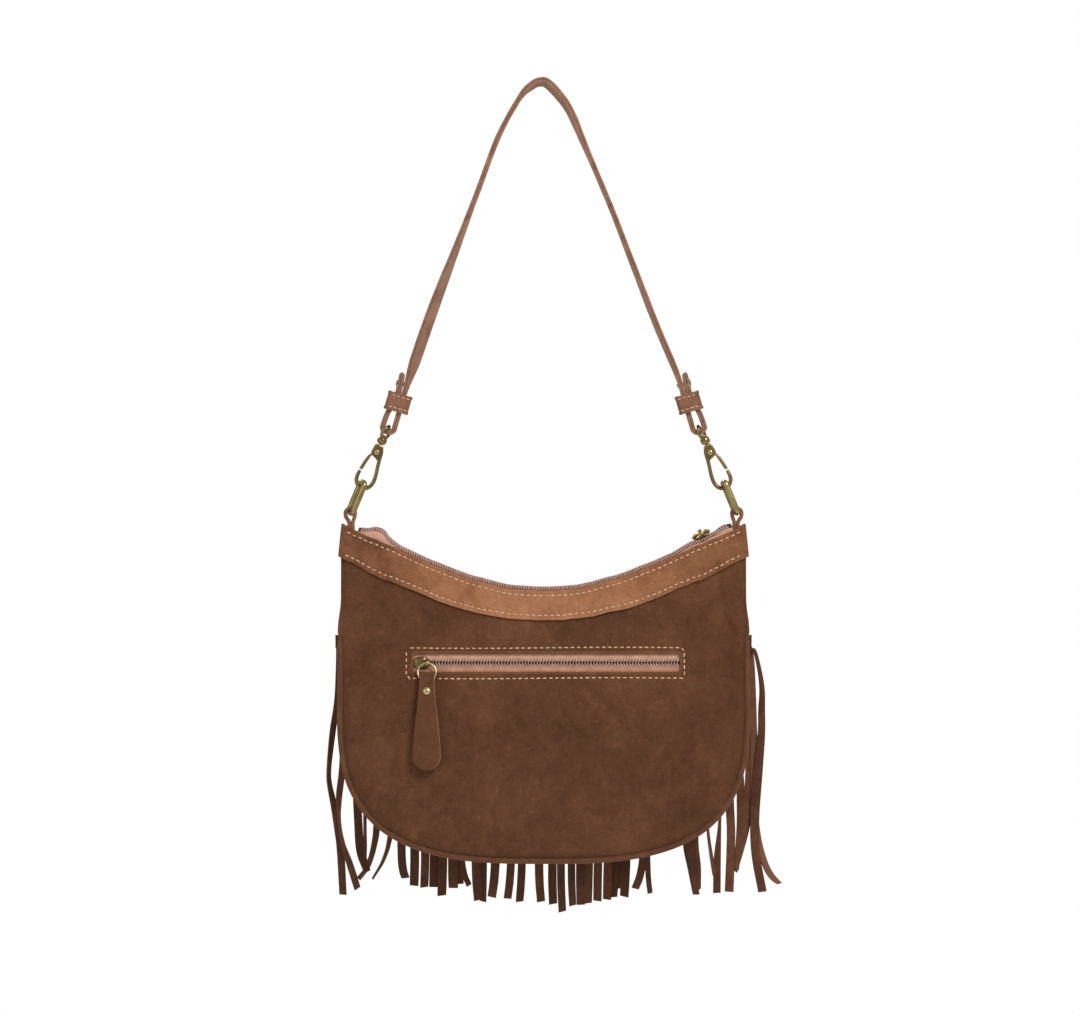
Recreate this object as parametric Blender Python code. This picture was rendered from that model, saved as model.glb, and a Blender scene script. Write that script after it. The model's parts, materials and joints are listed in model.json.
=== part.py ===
"""Small suede shoulder bag with a cut fringe, a zipped mouth, a zipped back pocket and a clip-on strap.

Metres, +Z up. The origin is the underside of the strap's apex, where the bag hangs.
The pocket side faces -Y and the fringed side faces +Y.
"""

import math

import bmesh
import bpy
from mathutils import Vector

for item in list(bpy.data.objects):
    bpy.data.objects.remove(item, do_unlink=True)

MM = 0.001

# Suede shell
PANEL_HALF_WIDTH = 130.3 * MM
PANEL_THICK = 1.4 * MM
SIDE_STRAIGHT_TO = -400.0 * MM
BOTTOM_Z = -501.5 * MM
BOTTOM_POWER = 3.0
MOUTH_HALF_DEPTH = 5.8 * MM
BODY_HALF_DEPTH = 22.0 * MM
PANEL_BULGE = 3.0 * MM
FLAT_HALF_WIDTH = 95.0 * MM
SEAM_GAP = 0.3 * MM

# Mouth edge: a circular arc that runs out into straight ends
MOUTH_RADIUS = 195.0 * MM
MOUTH_LOW_Z = -328.5 * MM
MOUTH_ARC_HALF = 100.0 * MM
MOUTH_CENTRE_Z = MOUTH_LOW_Z + MOUTH_RADIUS
BAND_HALF_WIDTH = 131.0 * MM
BAND_HEIGHT = 19.0 * MM
BAND_THICK = 1.4 * MM
PIPING_TOP = -350.0 * MM

# Back pocket
WINDOW_LEFT = -85.0 * MM
WINDOW_RIGHT = 89.0 * MM
WINDOW_TOP = -368.5 * MM
WINDOW_BOTTOM = -381.5 * MM
POCKET_LINE_Z = -375.0 * MM
POCKET_SLIDER_X = -79.3 * MM
POCKET_DEPTH_Z = -468.0 * MM

# Zips
COIL_RADIUS = 1.15 * MM
COIL_OFFSET = 1.65 * MM
CHAIN_LIFT = 2.5 * MM
MOUTH_SLIDER_X = 105.0 * MM

# Pulls
PULL_RING_RADIUS = 5.9 * MM
PULL_RING_WIRE = 0.7 * MM
PULL_THICK = 1.3 * MM
PULL_LENGTH = 58.0 * MM

# Fringe
STRAND_COUNT = 44
STRAND_GAP = 0.7 * MM
FRINGE_HALF_WIDTH = 136.0 * MM
FRINGE_SPLAY = 1.07
FRINGE_TOP = -352.0 * MM
FRINGE_SLIT_TOP = -362.0 * MM
FRINGE_LOW = -535.0 * MM
FRINGE_RISE = 13.0 * MM
FRINGE_THICK = 1.2 * MM

# Strap and its hardware
STRAP_WIDTH = 11.0 * MM
STRAP_THICK = 3.3 * MM
EYE_BAR = (100.5 * MM, -222.0 * MM)
EYE_BAR_RADIUS = 1.4 * MM
FOLD_RADIUS = 3.95 * MM
CHAIN_TILT = math.radians(26.0)
RING_BAR_AT = (-0.8, 39.7)
RING_TILT = math.radians(22.5)
RING_LENGTH = 22.0 * MM
RING_HALF_WIDTH = 7.6 * MM
RING_WIRE = 1.55 * MM
TAB_THICK = 2.2 * MM

ACROSS = Vector((0, 1, 0))
EAST = Vector((1, 0, 0))
NORTH = Vector((0, 0, 1))


def material(name, colour, roughness, metallic=0.0):
    made = bpy.data.materials.new(name)
    made.use_nodes = True
    shader = made.node_tree.nodes["Principled BSDF"]
    shader.inputs["Base Color"].default_value = (*colour, 1.0)
    shader.inputs["Roughness"].default_value = roughness
    shader.inputs["Metallic"].default_value = metallic
    return made


SUEDE = material("suede", (0.115, 0.045, 0.022), 0.95)
BAND_SUEDE = material("band_suede", (0.25, 0.11, 0.055), 0.93)
FRINGE_SUEDE = material("fringe_suede", (0.09, 0.036, 0.02), 0.95)
STRAP_LEATHER = material("strap_leather", (0.27, 0.14, 0.085), 0.7)
ZIP_TAPE = material("zip_tape", (0.32, 0.17, 0.11), 0.9)
ZIP_COIL = material("zip_coil", (0.16, 0.07, 0.05), 0.5)
LINING_CLOTH = material("lining_cloth", (0.42, 0.26, 0.17), 0.9)
ANTIQUE_BRASS = material("antique_brass", (0.30, 0.22, 0.10), 0.42, 1.0)


def new_object(name, points, faces, look, origin=(0, 0, 0), smooth=False):
    """A named closed body whose points are given in world coordinates."""
    shift = Vector(origin)
    mesh = bpy.data.meshes.new(name)
    mesh.from_pydata([Vector(p) - shift for p in points], [], faces)
    work = bmesh.new()
    work.from_mesh(mesh)
    bmesh.ops.recalc_face_normals(work, faces=work.faces)
    for face in work.faces:
        face.smooth = smooth
    work.to_mesh(mesh)
    work.free()
    mesh.materials.append(look)
    made = bpy.data.objects.new(name, mesh)
    made.location = shift
    bpy.context.scene.collection.objects.link(made)
    return made


def combine(target, other, operation):
    """Unites or cuts the target with a helper body that isn't itself rendered."""
    other.hide_render = True
    other.display_type = "WIRE"
    step = target.modifiers.new(other.name, "BOOLEAN")
    step.operation = operation
    step.solver = "EXACT"
    step.object = other


def rectangle(half_width, half_thick):
    return [
        (-half_width, -half_thick),
        (half_width, -half_thick),
        (half_width, half_thick),
        (-half_width, half_thick),
    ]


def circle(radius, count):
    turn = 2 * math.pi / count
    return [(radius * math.cos(turn * k), radius * math.sin(turn * k)) for k in range(count)]


def sweep(path, sections, side, closed=False):
    """Points and faces of a body swept along a flat path whose plane has the normal `side`."""
    path = [Vector(p) for p in path]
    count = len(path)
    points = []
    for k, centre in enumerate(path):
        before = path[(k - 1) % count] if closed or k > 0 else centre
        after = path[(k + 1) % count] if closed or k < count - 1 else centre
        along = (after - before).normalized()
        up = side.cross(along).normalized()
        section = sections[k] if isinstance(sections[0], list) else sections
        points += [centre + a * side + b * up for a, b in section]
    n = len(points) // count
    faces = []
    for k in range(count if closed else count - 1):
        here = k * n
        there = ((k + 1) % count) * n
        for j in range(n):
            i = (j + 1) % n
            faces.append((here + j, here + i, there + i, there + j))
    if not closed:
        faces.append(tuple(range(n)))
        faces.append(tuple(range(len(points) - n, len(points))))
    return points, faces


def smooth_path(knots, steps):
    """A curve through the knots."""
    knots = [Vector(k) for k in knots]
    full = [2 * knots[0] - knots[1], *knots, 2 * knots[-1] - knots[-2]]
    found = []
    for k in range(1, len(full) - 2):
        a, b, c, d = full[k - 1 : k + 3]
        for step in range(steps):
            t = step / steps
            curve = (c - a) * t + (2 * a - 5 * b + 4 * c - d) * t * t + (3 * b - a - 3 * c + d) * t**3
            found.append(0.5 * (2 * b + curve))
    found.append(knots[-1])
    return found


def step_up(t):
    t = min(max(t, 0.0), 1.0)
    return t * t * (3 - 2 * t)


def half_depth(z):
    """Half the bag's inner depth at its side edges."""
    return MOUTH_HALF_DEPTH + (BODY_HALF_DEPTH - MOUTH_HALF_DEPTH) * step_up((-300 * MM - z) / (150 * MM))


def half_width(z):
    """Half the width of a suede panel at a height."""
    if z >= SIDE_STRAIGHT_TO:
        return PANEL_HALF_WIDTH
    drop = min((SIDE_STRAIGHT_TO - z) / (SIDE_STRAIGHT_TO - BOTTOM_Z), 1.0)
    return PANEL_HALF_WIDTH * (1 - drop**BOTTOM_POWER) ** (1 / BOTTOM_POWER)


def panel_y(x, z):
    """How far the inner face of a panel lies from the bag's middle plane."""
    rise = step_up((-300 * MM - z) / (110 * MM)) * step_up((z - BOTTOM_Z) / (60 * MM))
    side = step_up((abs(x) - FLAT_HALF_WIDTH) / (PANEL_HALF_WIDTH - FLAT_HALF_WIDTH))
    return half_depth(z) + PANEL_BULGE * rise * (1 - side)


def mouth_z(x):
    """Height of the band's top edge."""
    reach = min(abs(x), MOUTH_ARC_HALF)
    drop = math.sqrt(MOUTH_RADIUS**2 - reach**2)
    slope = MOUTH_ARC_HALF / math.sqrt(MOUTH_RADIUS**2 - MOUTH_ARC_HALF**2)
    return MOUTH_CENTRE_Z - drop + slope * (abs(x) - reach)


def mouth_frame(x):
    """Point of the mouth edge with its tangent and its upward normal."""
    here = Vector((x, 0, mouth_z(x)))
    ahead = Vector((x + 0.1 * MM, 0, mouth_z(x + 0.1 * MM)))
    tangent = (ahead - here).normalized()
    return here, tangent, Vector((-tangent.z, 0, tangent.x))


def grid_sheet(name, grid, thick, look, skip=(), origin=(0, 0, 0)):
    """A sheet with thickness over a grid of points; `thick` is the offset between its two faces."""
    rows = len(grid)
    columns = len(grid[0])
    points = [p for row in grid for p in row]
    points += [tuple(Vector(p) + Vector(thick)) for row in grid for p in row]
    layer = rows * columns
    cells = {(i, j) for i in range(rows - 1) for j in range(columns - 1)} - set(skip)
    faces = []
    for i, j in sorted(cells):
        a = i * columns + j
        corner = [a, a + 1, a + columns + 1, a + columns]
        faces.append(tuple(corner))
        faces.append(tuple(c + layer for c in reversed(corner)))
        beside = [(i - 1, j), (i, j + 1), (i + 1, j), (i, j - 1)]
        for k, other in enumerate(beside):
            if other not in cells:
                p = corner[k]
                q = corner[(k + 1) % 4]
                faces.append((q, p, p + layer, q + layer))
    used = sorted({v for face in faces for v in face})
    number = {v: k for k, v in enumerate(used)}
    faces = [tuple(number[v] for v in face) for face in faces]
    return new_object(name, [points[v] for v in used], faces, look, origin)


# Suede panels, one grid for both; the pocket window is left open in the back one
COLUMNS = [-PANEL_HALF_WIDTH, -118 * MM, -100 * MM, WINDOW_LEFT, -56 * MM, -28 * MM, 0.0]
COLUMNS += [29 * MM, 58 * MM, WINDOW_RIGHT, 103 * MM, 119 * MM, PANEL_HALF_WIDTH]
CURVE_ANGLES = [0, 12, 24, 36, 48, 60, 72, 83]


def panel_grid(sign, lift):
    grid = []
    for drop in (2 * MM, BAND_HEIGHT / 2, BAND_HEIGHT):
        grid.append([(x, mouth_z(x) - drop) for x in COLUMNS])
    for level in (WINDOW_TOP, WINDOW_BOTTOM):
        grid.append([(x, level) for x in COLUMNS])
    for angle in CURVE_ANGLES:
        z = SIDE_STRAIGHT_TO + (BOTTOM_Z - SIDE_STRAIGHT_TO) * math.sin(math.radians(angle))
        scale = half_width(z) / PANEL_HALF_WIDTH
        grid.append([(x * scale, z) for x in COLUMNS])
    return [[(x, sign * (panel_y(x, z) + lift), z) for x, z in row] for row in grid]


window = [(3, j) for j in range(3, 9)]
grid_sheet("back_panel", panel_grid(-1, 0.0), (0, -PANEL_THICK, 0), SUEDE, window)
grid_sheet("front_panel", panel_grid(1, 0.0), (0, PANEL_THICK, 0), SUEDE)


# Bands along the mouth, laid over the panels
def band(name, sign):
    lift = PANEL_THICK + SEAM_GAP
    grid = []
    for share in (0.0, 0.5, 1.0):
        row = []
        for column in COLUMNS:
            z = mouth_z(column) - BAND_HEIGHT * share
            widen = (BAND_HALF_WIDTH + 2.2 * MM * share) / PANEL_HALF_WIDTH
            edge = abs(column) > 129 * MM
            row.append((column * (widen if edge else 1), sign * (panel_y(column, z) + lift), z))
        grid.append(row)
    return grid_sheet(name, grid, (0, sign * BAND_THICK, 0), BAND_SUEDE)


band("back_band", -1)
band("front_band", 1)


# Gusset and piping follow the U of the panels
def edge_path(offset, top):
    """The U outline moved outwards, as (x, z) pairs from the right top to the left top."""
    ring = [(PANEL_HALF_WIDTH, top + (SIDE_STRAIGHT_TO - top) * k / 3) for k in range(3)]
    for k in range(25):
        angle = math.pi * k / 24
        x = math.copysign(abs(math.cos(angle)) ** (2 / BOTTOM_POWER), math.cos(angle)) * PANEL_HALF_WIDTH
        z = SIDE_STRAIGHT_TO + (BOTTOM_Z - SIDE_STRAIGHT_TO) * abs(math.sin(angle)) ** (2 / BOTTOM_POWER)
        ring.append((x, z))
    ring += [(-PANEL_HALF_WIDTH, top + (SIDE_STRAIGHT_TO - top) * k / 3) for k in (2, 1, 0)]
    moved = []
    for k, (x, z) in enumerate(ring):
        a = ring[max(k - 1, 0)]
        b = ring[min(k + 1, len(ring) - 1)]
        away = Vector((-(b[1] - a[1]), b[0] - a[0])).normalized()
        moved.append((x + away.x * offset, z + away.y * offset))
    return moved


def gusset():
    outer = edge_path(-0.3 * MM, -292 * MM)
    inner = edge_path(-1.7 * MM, -292 * MM)
    points = []
    for (xo, zo), (xi, zi) in zip(outer, inner):
        reach = half_depth(zo) - 1.0 * MM
        points += [(xo, -reach, zo), (xo, reach, zo), (xi, reach, zi), (xi, -reach, zi)]
    faces = [(0, 1, 2, 3)]
    for k in range(len(outer) - 1):
        for j in range(4):
            i = (j + 1) % 4
            faces.append((4 * k + j, 4 * k + i, 4 * k + 4 + i, 4 * k + 4 + j))
    last = 4 * (len(outer) - 1)
    faces.append((last, last + 3, last + 2, last + 1))
    return new_object("gusset", points, faces, SUEDE)


gusset()


def piping(name, sign):
    radius = 1.5 * MM
    path = [
        Vector((x, sign * (half_depth(z) + 0.5 * MM), z)) for x, z in edge_path(radius + SEAM_GAP, PIPING_TOP)
    ]
    points, faces = sweep(path, circle(radius, 6), ACROSS)
    return new_object(name, points, faces, SUEDE, smooth=True)


piping("back_piping", -1)
piping("front_piping", 1)


# Fringe: one cut piece, an uncut yoke with strands below it
def fringe():
    pitch = 2 * FRINGE_HALF_WIDTH / STRAND_COUNT
    lift = PANEL_THICK + 1.2 * MM
    levels = 6

    def spot(x, z, outer):
        down = max(FRINGE_SLIT_TOP - z, 0) / (FRINGE_SLIT_TOP - FRINGE_LOW)
        spread = 1 + (FRINGE_SPLAY - 1) * down * (abs(x) / FRINGE_HALF_WIDTH) ** 3
        inside = min(abs(x), PANEL_HALF_WIDTH)
        held = max(z, BOTTOM_Z + 40 * MM)
        near = panel_y(inside, held) + lift
        return (x * spread, near + (FRINGE_THICK if outer else 0), z)

    edges = []
    for k in range(STRAND_COUNT):
        left = -FRINGE_HALF_WIDTH + k * pitch + STRAND_GAP / 2
        edges += [left, left + pitch - STRAND_GAP]
    points = []
    for z in (FRINGE_TOP, FRINGE_SLIT_TOP):
        for x in edges:
            points += [spot(x, z, False), spot(x, z, True)]
    row = 2 * len(edges)
    faces = []
    for k in range(len(edges) - 1):
        a = 2 * k
        faces.append((a, a + 2, a + row + 2, a + row))
        faces.append((a + 1, a + row + 1, a + row + 3, a + 3))
        faces.append((a, a + 1, a + 3, a + 2))
        if k % 2:
            faces.append((a + row, a + row + 2, a + row + 3, a + row + 1))
    faces.append((0, row, row + 1, 1))
    end = row - 2
    faces.append((end, end + 1, end + row + 1, end + row))
    for k in range(STRAND_COUNT):
        left = edges[2 * k]
        right = edges[2 * k + 1]
        low = FRINGE_LOW + FRINGE_RISE * (abs(left + right) / (2 * FRINGE_HALF_WIDTH)) ** 2
        previous = [row + 4 * k, row + 4 * k + 1, row + 4 * k + 3, row + 4 * k + 2]
        for level in range(1, levels + 1):
            z = FRINGE_SLIT_TOP + (low - FRINGE_SLIT_TOP) * level / levels
            first = len(points)
            points += [spot(left, z, False), spot(left, z, True), spot(right, z, True), spot(right, z, False)]
            current = [first, first + 1, first + 2, first + 3]
            for j in range(4):
                i = (j + 1) % 4
                faces.append((previous[j], previous[i], current[i], current[j]))
            previous = current
        faces.append(tuple(reversed(previous)))
    return new_object("fringe", points, faces, FRINGE_SUEDE)


fringe()


# Cloth lining: an open pouch inside the panels
def pouch(name, loops, floor_lift, look):
    """A thin-walled pouch from (outer loop, inner loop) pairs, top first, closed at the bottom."""
    n = len(loops[0][0])
    points = []
    for outer, inner in loops:
        points += outer
        points += inner
    faces = []
    for k in range(len(loops) - 1):
        for j in range(n):
            i = (j + 1) % n
            a = 2 * n * k
            b = 2 * n * (k + 1)
            faces.append((a + j, a + i, b + i, b + j))
            if k < len(loops) - 1:
                faces.append((a + n + i, a + n + j, b + n + j, b + n + i))
    for j in range(n):
        i = (j + 1) % n
        faces.append((i, j, n + j, n + i))
    last = 2 * n * (len(loops) - 1)
    for j in range(n):
        points[last + n + j] = tuple(Vector(points[last + n + j]) + Vector((0, 0, floor_lift)))
    faces.append(tuple(last + j for j in range(n)))
    faces.append(tuple(last + n + j for j in reversed(range(n))))
    return new_object(name, points, faces, look)


def lining_loop(reach, top_line, z, inset):
    """One level of the lining: flat back and front with square ends."""
    shares = (-1, -0.6, -0.2, 0.2, 0.6, 1)
    back = []
    front = []
    for s in shares:
        x = s * (reach - inset)
        level = mouth_z(s * reach) - 9 * MM if top_line else z
        deep = half_depth(level)
        near = max(min(deep - 2.2 * MM, 4.6 * MM), deep - 9.2 * MM)
        back.append((x, -(near - inset), level))
        front.append((x, deep - 2.2 * MM - inset, level))
    return back + front[::-1]


lining_levels = [(117, None), (122, -345), (126, -372), (126, -400), (123, -425), (113, -455)]
lining_levels += [(98, -475), (70, -492)]
lining = []
for reach, z in lining_levels:
    top_line = z is None
    level = 0.0 if top_line else z * MM
    lining.append([lining_loop(reach * MM, top_line, level, inset) for inset in (0.0, 0.7 * MM)])
pouch("lining", lining, 0.7 * MM, LINING_CLOTH)


# Back pocket: two zip tapes, two coils and the pocket bag behind the window
def pocket_y(z, inset):
    return -(half_depth(z) + PANEL_BULGE * step_up((-300 * MM - z) / (110 * MM)) - inset)


def pocket_tape(name, low, high):
    grid = []
    for z in (high, low):
        grid.append([(x * MM, pocket_y(z, 0.35 * MM), z) for x in (-92, 96)])
    return grid_sheet(name, grid, (0, 0.5 * MM, 0), ZIP_TAPE)


pocket_tape("pocket_tape_upper", POCKET_LINE_Z + 3.0 * MM, POCKET_LINE_Z + 10.0 * MM)
pocket_tape("pocket_tape_lower", POCKET_LINE_Z - 10.0 * MM, POCKET_LINE_Z - 3.0 * MM)
POCKET_CHAIN_Y = pocket_y(POCKET_LINE_Z, 0.6 * MM)


def rod(name, start, end, radius, sides, look):
    start = Vector(start)
    end = Vector(end)
    side = (end - start).orthogonal().normalized()
    points, faces = sweep([start, end], circle(radius, sides), side)
    return new_object(name, points, faces, look, smooth=True)


for level, sign in (("upper", 1), ("lower", -1)):
    z = POCKET_LINE_Z + sign * COIL_OFFSET
    rod(
        "pocket_coil_" + level,
        (-84 * MM, POCKET_CHAIN_Y, z),
        (88 * MM, POCKET_CHAIN_Y, z),
        COIL_RADIUS,
        10,
        ZIP_COIL,
    )


def pocket_bag():
    """A flat cloth bag behind the pocket zip, its front wall starting below the zip."""
    wall = 0.6 * MM
    back_top = POCKET_LINE_Z + 11.0 * MM
    front_top = POCKET_LINE_Z - 11.0 * MM
    section = []
    for level in (front_top, -410 * MM, -440 * MM, POCKET_DEPTH_Z):
        section.append((pocket_y(level, 1.6 * MM), level))
    for level in (POCKET_DEPTH_Z, -440 * MM, -410 * MM, front_top, back_top):
        section.append((pocket_y(level, 8.6 * MM), level))
    section.append((pocket_y(back_top, 8.6 * MM) - wall, back_top))
    for level in (front_top, -410 * MM, -440 * MM):
        section.append((pocket_y(level, 8.6 * MM) - wall, level))
    section.append((pocket_y(POCKET_DEPTH_Z + wall, 8.6 * MM) - wall, POCKET_DEPTH_Z + wall))
    section.append((pocket_y(POCKET_DEPTH_Z + wall, 1.6 * MM) + wall, POCKET_DEPTH_Z + wall))
    for level in (-440 * MM, -410 * MM, front_top):
        section.append((pocket_y(level, 1.6 * MM) + wall, level))
    n = len(section)
    points = [(x, y, z) for x in (-91 * MM, 95 * MM) for y, z in section]
    faces = [tuple(range(n)), tuple(range(n, 2 * n))]
    faces += [(j, (j + 1) % n, n + (j + 1) % n, n + j) for j in range(n)]
    return new_object("pocket_lining", points, faces, LINING_CLOTH)


pocket_bag()


# Mouth zip
def mouth_ribbon(name, sign):
    path = []
    for k in range(25):
        x = (-115 + 230 * k / 24) * MM
        here, tangent, normal = mouth_frame(x)
        path.append((here, normal))
    points = []
    section = [(3.05, 0.25), (4.9, 0.25), (5.3, -8.0), (4.8, -8.0), (4.4, -0.25), (3.05, -0.25)]
    n = len(section)
    for here, normal in path:
        chain = here + normal * CHAIN_LIFT
        points += [chain + ACROSS * sign * across * MM + normal * up * MM for across, up in section]
    faces = [tuple(range(n)), tuple(range(24 * n, 25 * n))]
    for k in range(24):
        here = n * k
        faces += [(here + j, here + (j + 1) % n, here + n + (j + 1) % n, here + n + j) for j in range(n)]
    return new_object(name, points, faces, ZIP_TAPE)


mouth_ribbon("mouth_tape_back", -1)
mouth_ribbon("mouth_tape_front", 1)

for place, sign in (("back", -1), ("front", 1)):
    path = []
    for k in range(25):
        here, tangent, normal = mouth_frame((-111 + 223 * k / 24) * MM)
        path.append(here + normal * CHAIN_LIFT + ACROSS * sign * COIL_OFFSET)
    points, faces = sweep(path, circle(COIL_RADIUS, 6), ACROSS)
    new_object("mouth_coil_" + place, points, faces, ZIP_COIL, smooth=True)


# Sliders: two plates joined by a thin post between the coils, with a bail on top
def box_points(centre, axes, halves):
    corners = []
    for i in (-1, 1):
        for j in (-1, 1):
            for k in (-1, 1):
                corners.append(
                    centre + axes[0] * i * halves[0] + axes[1] * j * halves[1] + axes[2] * k * halves[2]
                )
    faces = [(0, 1, 3, 2), (4, 6, 7, 5), (0, 4, 5, 1), (2, 3, 7, 6), (0, 2, 6, 4), (1, 5, 7, 3)]
    return corners, faces


def slider(name, centre, along, cross, out, bail_shift):
    """The zip slider around the chain at `centre`; `out` points to the side with the pull."""
    plate_gap = COIL_RADIUS + 0.3 * MM
    plate = 0.9 * MM
    half_long = 4.6 * MM
    half_wide = 4.0 * MM
    profile = [
        (-half_long, plate_gap, half_wide - 0.8 * MM),
        (half_long * 0.3, plate_gap, half_wide),
        (half_long, plate_gap, half_wide - 0.4 * MM),
    ]
    origin = tuple(centre)
    bodies = []
    for sign in (1, -1):
        points = []
        for u, h, w in profile:
            for height in (h, h + plate):
                points.append(centre + along * u + cross * -w + out * sign * height)
                points.append(centre + along * u + cross * w + out * sign * height)
        faces = [(0, 1, 3, 2), (8, 10, 11, 9)]
        for k in (0, 4):
            faces += [(k, k + 4, k + 5, k + 1), (k + 2, k + 3, k + 7, k + 6)]
            faces += [(k, k + 2, k + 6, k + 4), (k + 1, k + 5, k + 7, k + 3)]
        bodies.append((points, faces))
    main = new_object(name, *bodies[0], ANTIQUE_BRASS, origin)
    under = new_object(name + "_under_plate", *bodies[1], ANTIQUE_BRASS, origin)
    combine(main, under, "UNION")
    post = box_points(centre, (along, cross, out), (2.0 * MM, 0.3 * MM, plate_gap + 0.4 * MM))
    combine(main, new_object(name + "_post", *post, ANTIQUE_BRASS, origin), "UNION")
    base = centre + along * bail_shift + out * (plate_gap + plate)
    path = []
    for k in range(9):
        angle = math.pi * k / 8
        path.append(base + cross * 2.3 * MM * math.cos(angle) + out * (4.4 * math.sin(angle) - 0.6) * MM)
    points, faces = sweep(path, rectangle(1.1 * MM, 0.5 * MM), along)
    combine(main, new_object(name + "_bail", points, faces, ANTIQUE_BRASS, origin), "UNION")
    return base + out * 1.9 * MM


def pull_ring(name, hole, toward, along):
    """A wire ring through the bail at `hole`, its middle lying in the direction `toward`."""
    centre = hole + toward * PULL_RING_RADIUS
    path = []
    for k in range(20):
        angle = 2 * math.pi * k / 20
        path.append(centre + (toward * math.cos(angle) + along * math.sin(angle)) * PULL_RING_RADIUS)
    side = toward.cross(along).normalized()
    points, faces = sweep(path, circle(PULL_RING_WIRE, 6), side, closed=True)
    new_object(name, points, faces, ANTIQUE_BRASS, tuple(hole), smooth=True)
    return hole + toward * 2 * PULL_RING_RADIUS


def pull_tab(name, fold, middle, face_out, along, rivet_at):
    """A leather pull folded over the ring at `fold`, with a hole for its rivet.

    `middle` is the line between its two layers, from the ring down; `face_out` is the way the
    front looks at each of its points.
    """
    around = PULL_RING_WIRE + 0.3 * MM + PULL_THICK / 2
    down = (middle[0] - fold).normalized()
    crest = fold - down * 3.2 * MM
    front = face_out[0]
    leaf = [m + f * around for m, f in zip(middle, face_out)][::-1]
    turn = []
    for k in range(9):
        angle = math.pi * k / 8
        turn.append(crest + front * around * math.cos(angle) - down * around * math.sin(angle))
    short = [m - f * around for m, f in zip(middle, face_out) if (m - fold).length < 16 * MM]
    path = leaf + turn + short
    total = [0.0]
    for a, b in zip(path, path[1:]):
        total.append(total[-1] + (b - a).length)
    full = total[len(leaf)]
    sections = []
    for run in total:
        from_ring = max(full - run, 0)
        wide = (4.8 + 4.2 * step_up(from_ring / full * 1.15)) * MM
        tip = run / (9 * MM)
        if tip < 1:
            wide = wide * math.sqrt(max(1 - (1 - tip) ** 2, 0.06))
        sections.append(rectangle(wide, PULL_THICK / 2))
    points, faces = sweep(path, sections, along)
    tab = new_object(name, points, faces, SUEDE, tuple(fold))
    near = min(range(len(middle)), key=lambda k: abs((middle[k] - fold).length - rivet_at * MM))
    spot = middle[near]
    axis = face_out[near]
    hole = rod(name + "_hole", spot - axis * 6 * MM, spot + axis * 6 * MM, 1.5 * MM, 12, SUEDE)
    combine(tab, hole, "DIFFERENCE")
    return spot, axis, around + PULL_THICK / 2 + 0.3 * MM


def pull_line(fold, outside, up, angles, straight, bend, lengths):
    """Points and outward faces of a pull that leaves the ring at one angle and hangs at another.

    Angles are from straight down, against `up`, towards the outside, along +Y or -Y.
    """
    found = []
    faces = []
    spot = fold.copy()
    before = 0.0
    for length in lengths:
        share = min(max((length - straight) / bend, 0.0), 1.0) if bend else 1.0
        angle = math.radians(angles[0] + (angles[1] - angles[0]) * share)
        step = ACROSS * outside * math.sin(angle) - up * math.cos(angle)
        spot = spot + step * (length - before) * MM
        before = length
        found.append(spot.copy())
        faces.append(ACROSS * outside * math.cos(angle) + up * math.sin(angle))
    return found, faces


def rivet(name, spot, axis, reach, head, origin, back=1.3 * MM):
    """A shank with a head at each end, just clear of the leather it holds; the back one may be flat."""
    axis = axis.normalized()
    side = axis.orthogonal().normalized()
    up = axis.cross(side)
    shank = 1.15 * MM
    rings = [(-reach - back, head * 0.55), (-reach - back * 0.6, head * 0.92), (-reach, head)]
    rings += [(-reach, shank), (reach, shank), (reach, head)]
    rings += [(reach + 0.8 * MM, head * 0.92), (reach + 1.3 * MM, head * 0.55)]
    points = []
    n = 12
    for along, radius in rings:
        for a, b in circle(radius, n):
            points.append(spot + axis * along + side * a + up * b)
    faces = [tuple(range(n)), tuple(range(len(points) - n, len(points)))]
    for k in range(len(rings) - 1):
        for j in range(n):
            i = (j + 1) % n
            faces.append((k * n + j, k * n + i, k * n + n + i, k * n + n + j))
    return new_object(name, points, faces, ANTIQUE_BRASS, origin, smooth=True)


# Back pocket pull, hanging against the panel
pocket_centre = Vector((POCKET_SLIDER_X, POCKET_CHAIN_Y, POCKET_LINE_Z))
pocket_hole = slider("pocket_slider", pocket_centre, EAST, NORTH, -ACROSS, 2.2 * MM)
hang = Vector((0, -math.sin(math.radians(15.0)), -math.cos(math.radians(15.0))))
pocket_fold = pull_ring("pocket_pull_ring", pocket_hole, hang, EAST)
PULL_STEPS = (3, 8, 12.5, 15.5, 22, 29, 36, 43, 49, 53, 56, 57.5, 58)
middle, faces_out = pull_line(pocket_fold, -1, NORTH, (15, 5), 14, 8, PULL_STEPS)
spot, front, reach = pull_tab("pocket_pull_tab", pocket_fold, middle, faces_out, EAST, 6.6)
rivet("pocket_pull_rivet", spot, front, reach, 2.6 * MM, tuple(pocket_fold), 0.5 * MM)

# Mouth pull, lying over the front band and hanging outside it
here, tangent, normal = mouth_frame(MOUTH_SLIDER_X)
mouth_centre = here + normal * CHAIN_LIFT
mouth_hole = slider("mouth_slider", mouth_centre, tangent, ACROSS, normal, 0.0)
lean = math.radians(104.0)
slant = math.radians(24.0)
pull_along = Vector((math.cos(slant), 0, math.sin(slant)))
pull_up = Vector((-math.sin(slant), 0, math.cos(slant)))
toward = pull_up * math.cos(lean) + ACROSS * math.sin(lean)
mouth_fold = pull_ring("mouth_pull_ring", mouth_hole, toward, pull_along)
steps = (1, 2, 3, 4, 5, 6, 9, 12.5, 15.5, 22, 29, 36, 43, 49, 53, 56, 57.5, 58)
middle, faces_out = pull_line(mouth_fold, 1, pull_up, (76, 8), 0.5, 5.5, steps)
spot, front, reach = pull_tab("mouth_pull_tab", mouth_fold, middle, faces_out, pull_along, 12.5)
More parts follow.
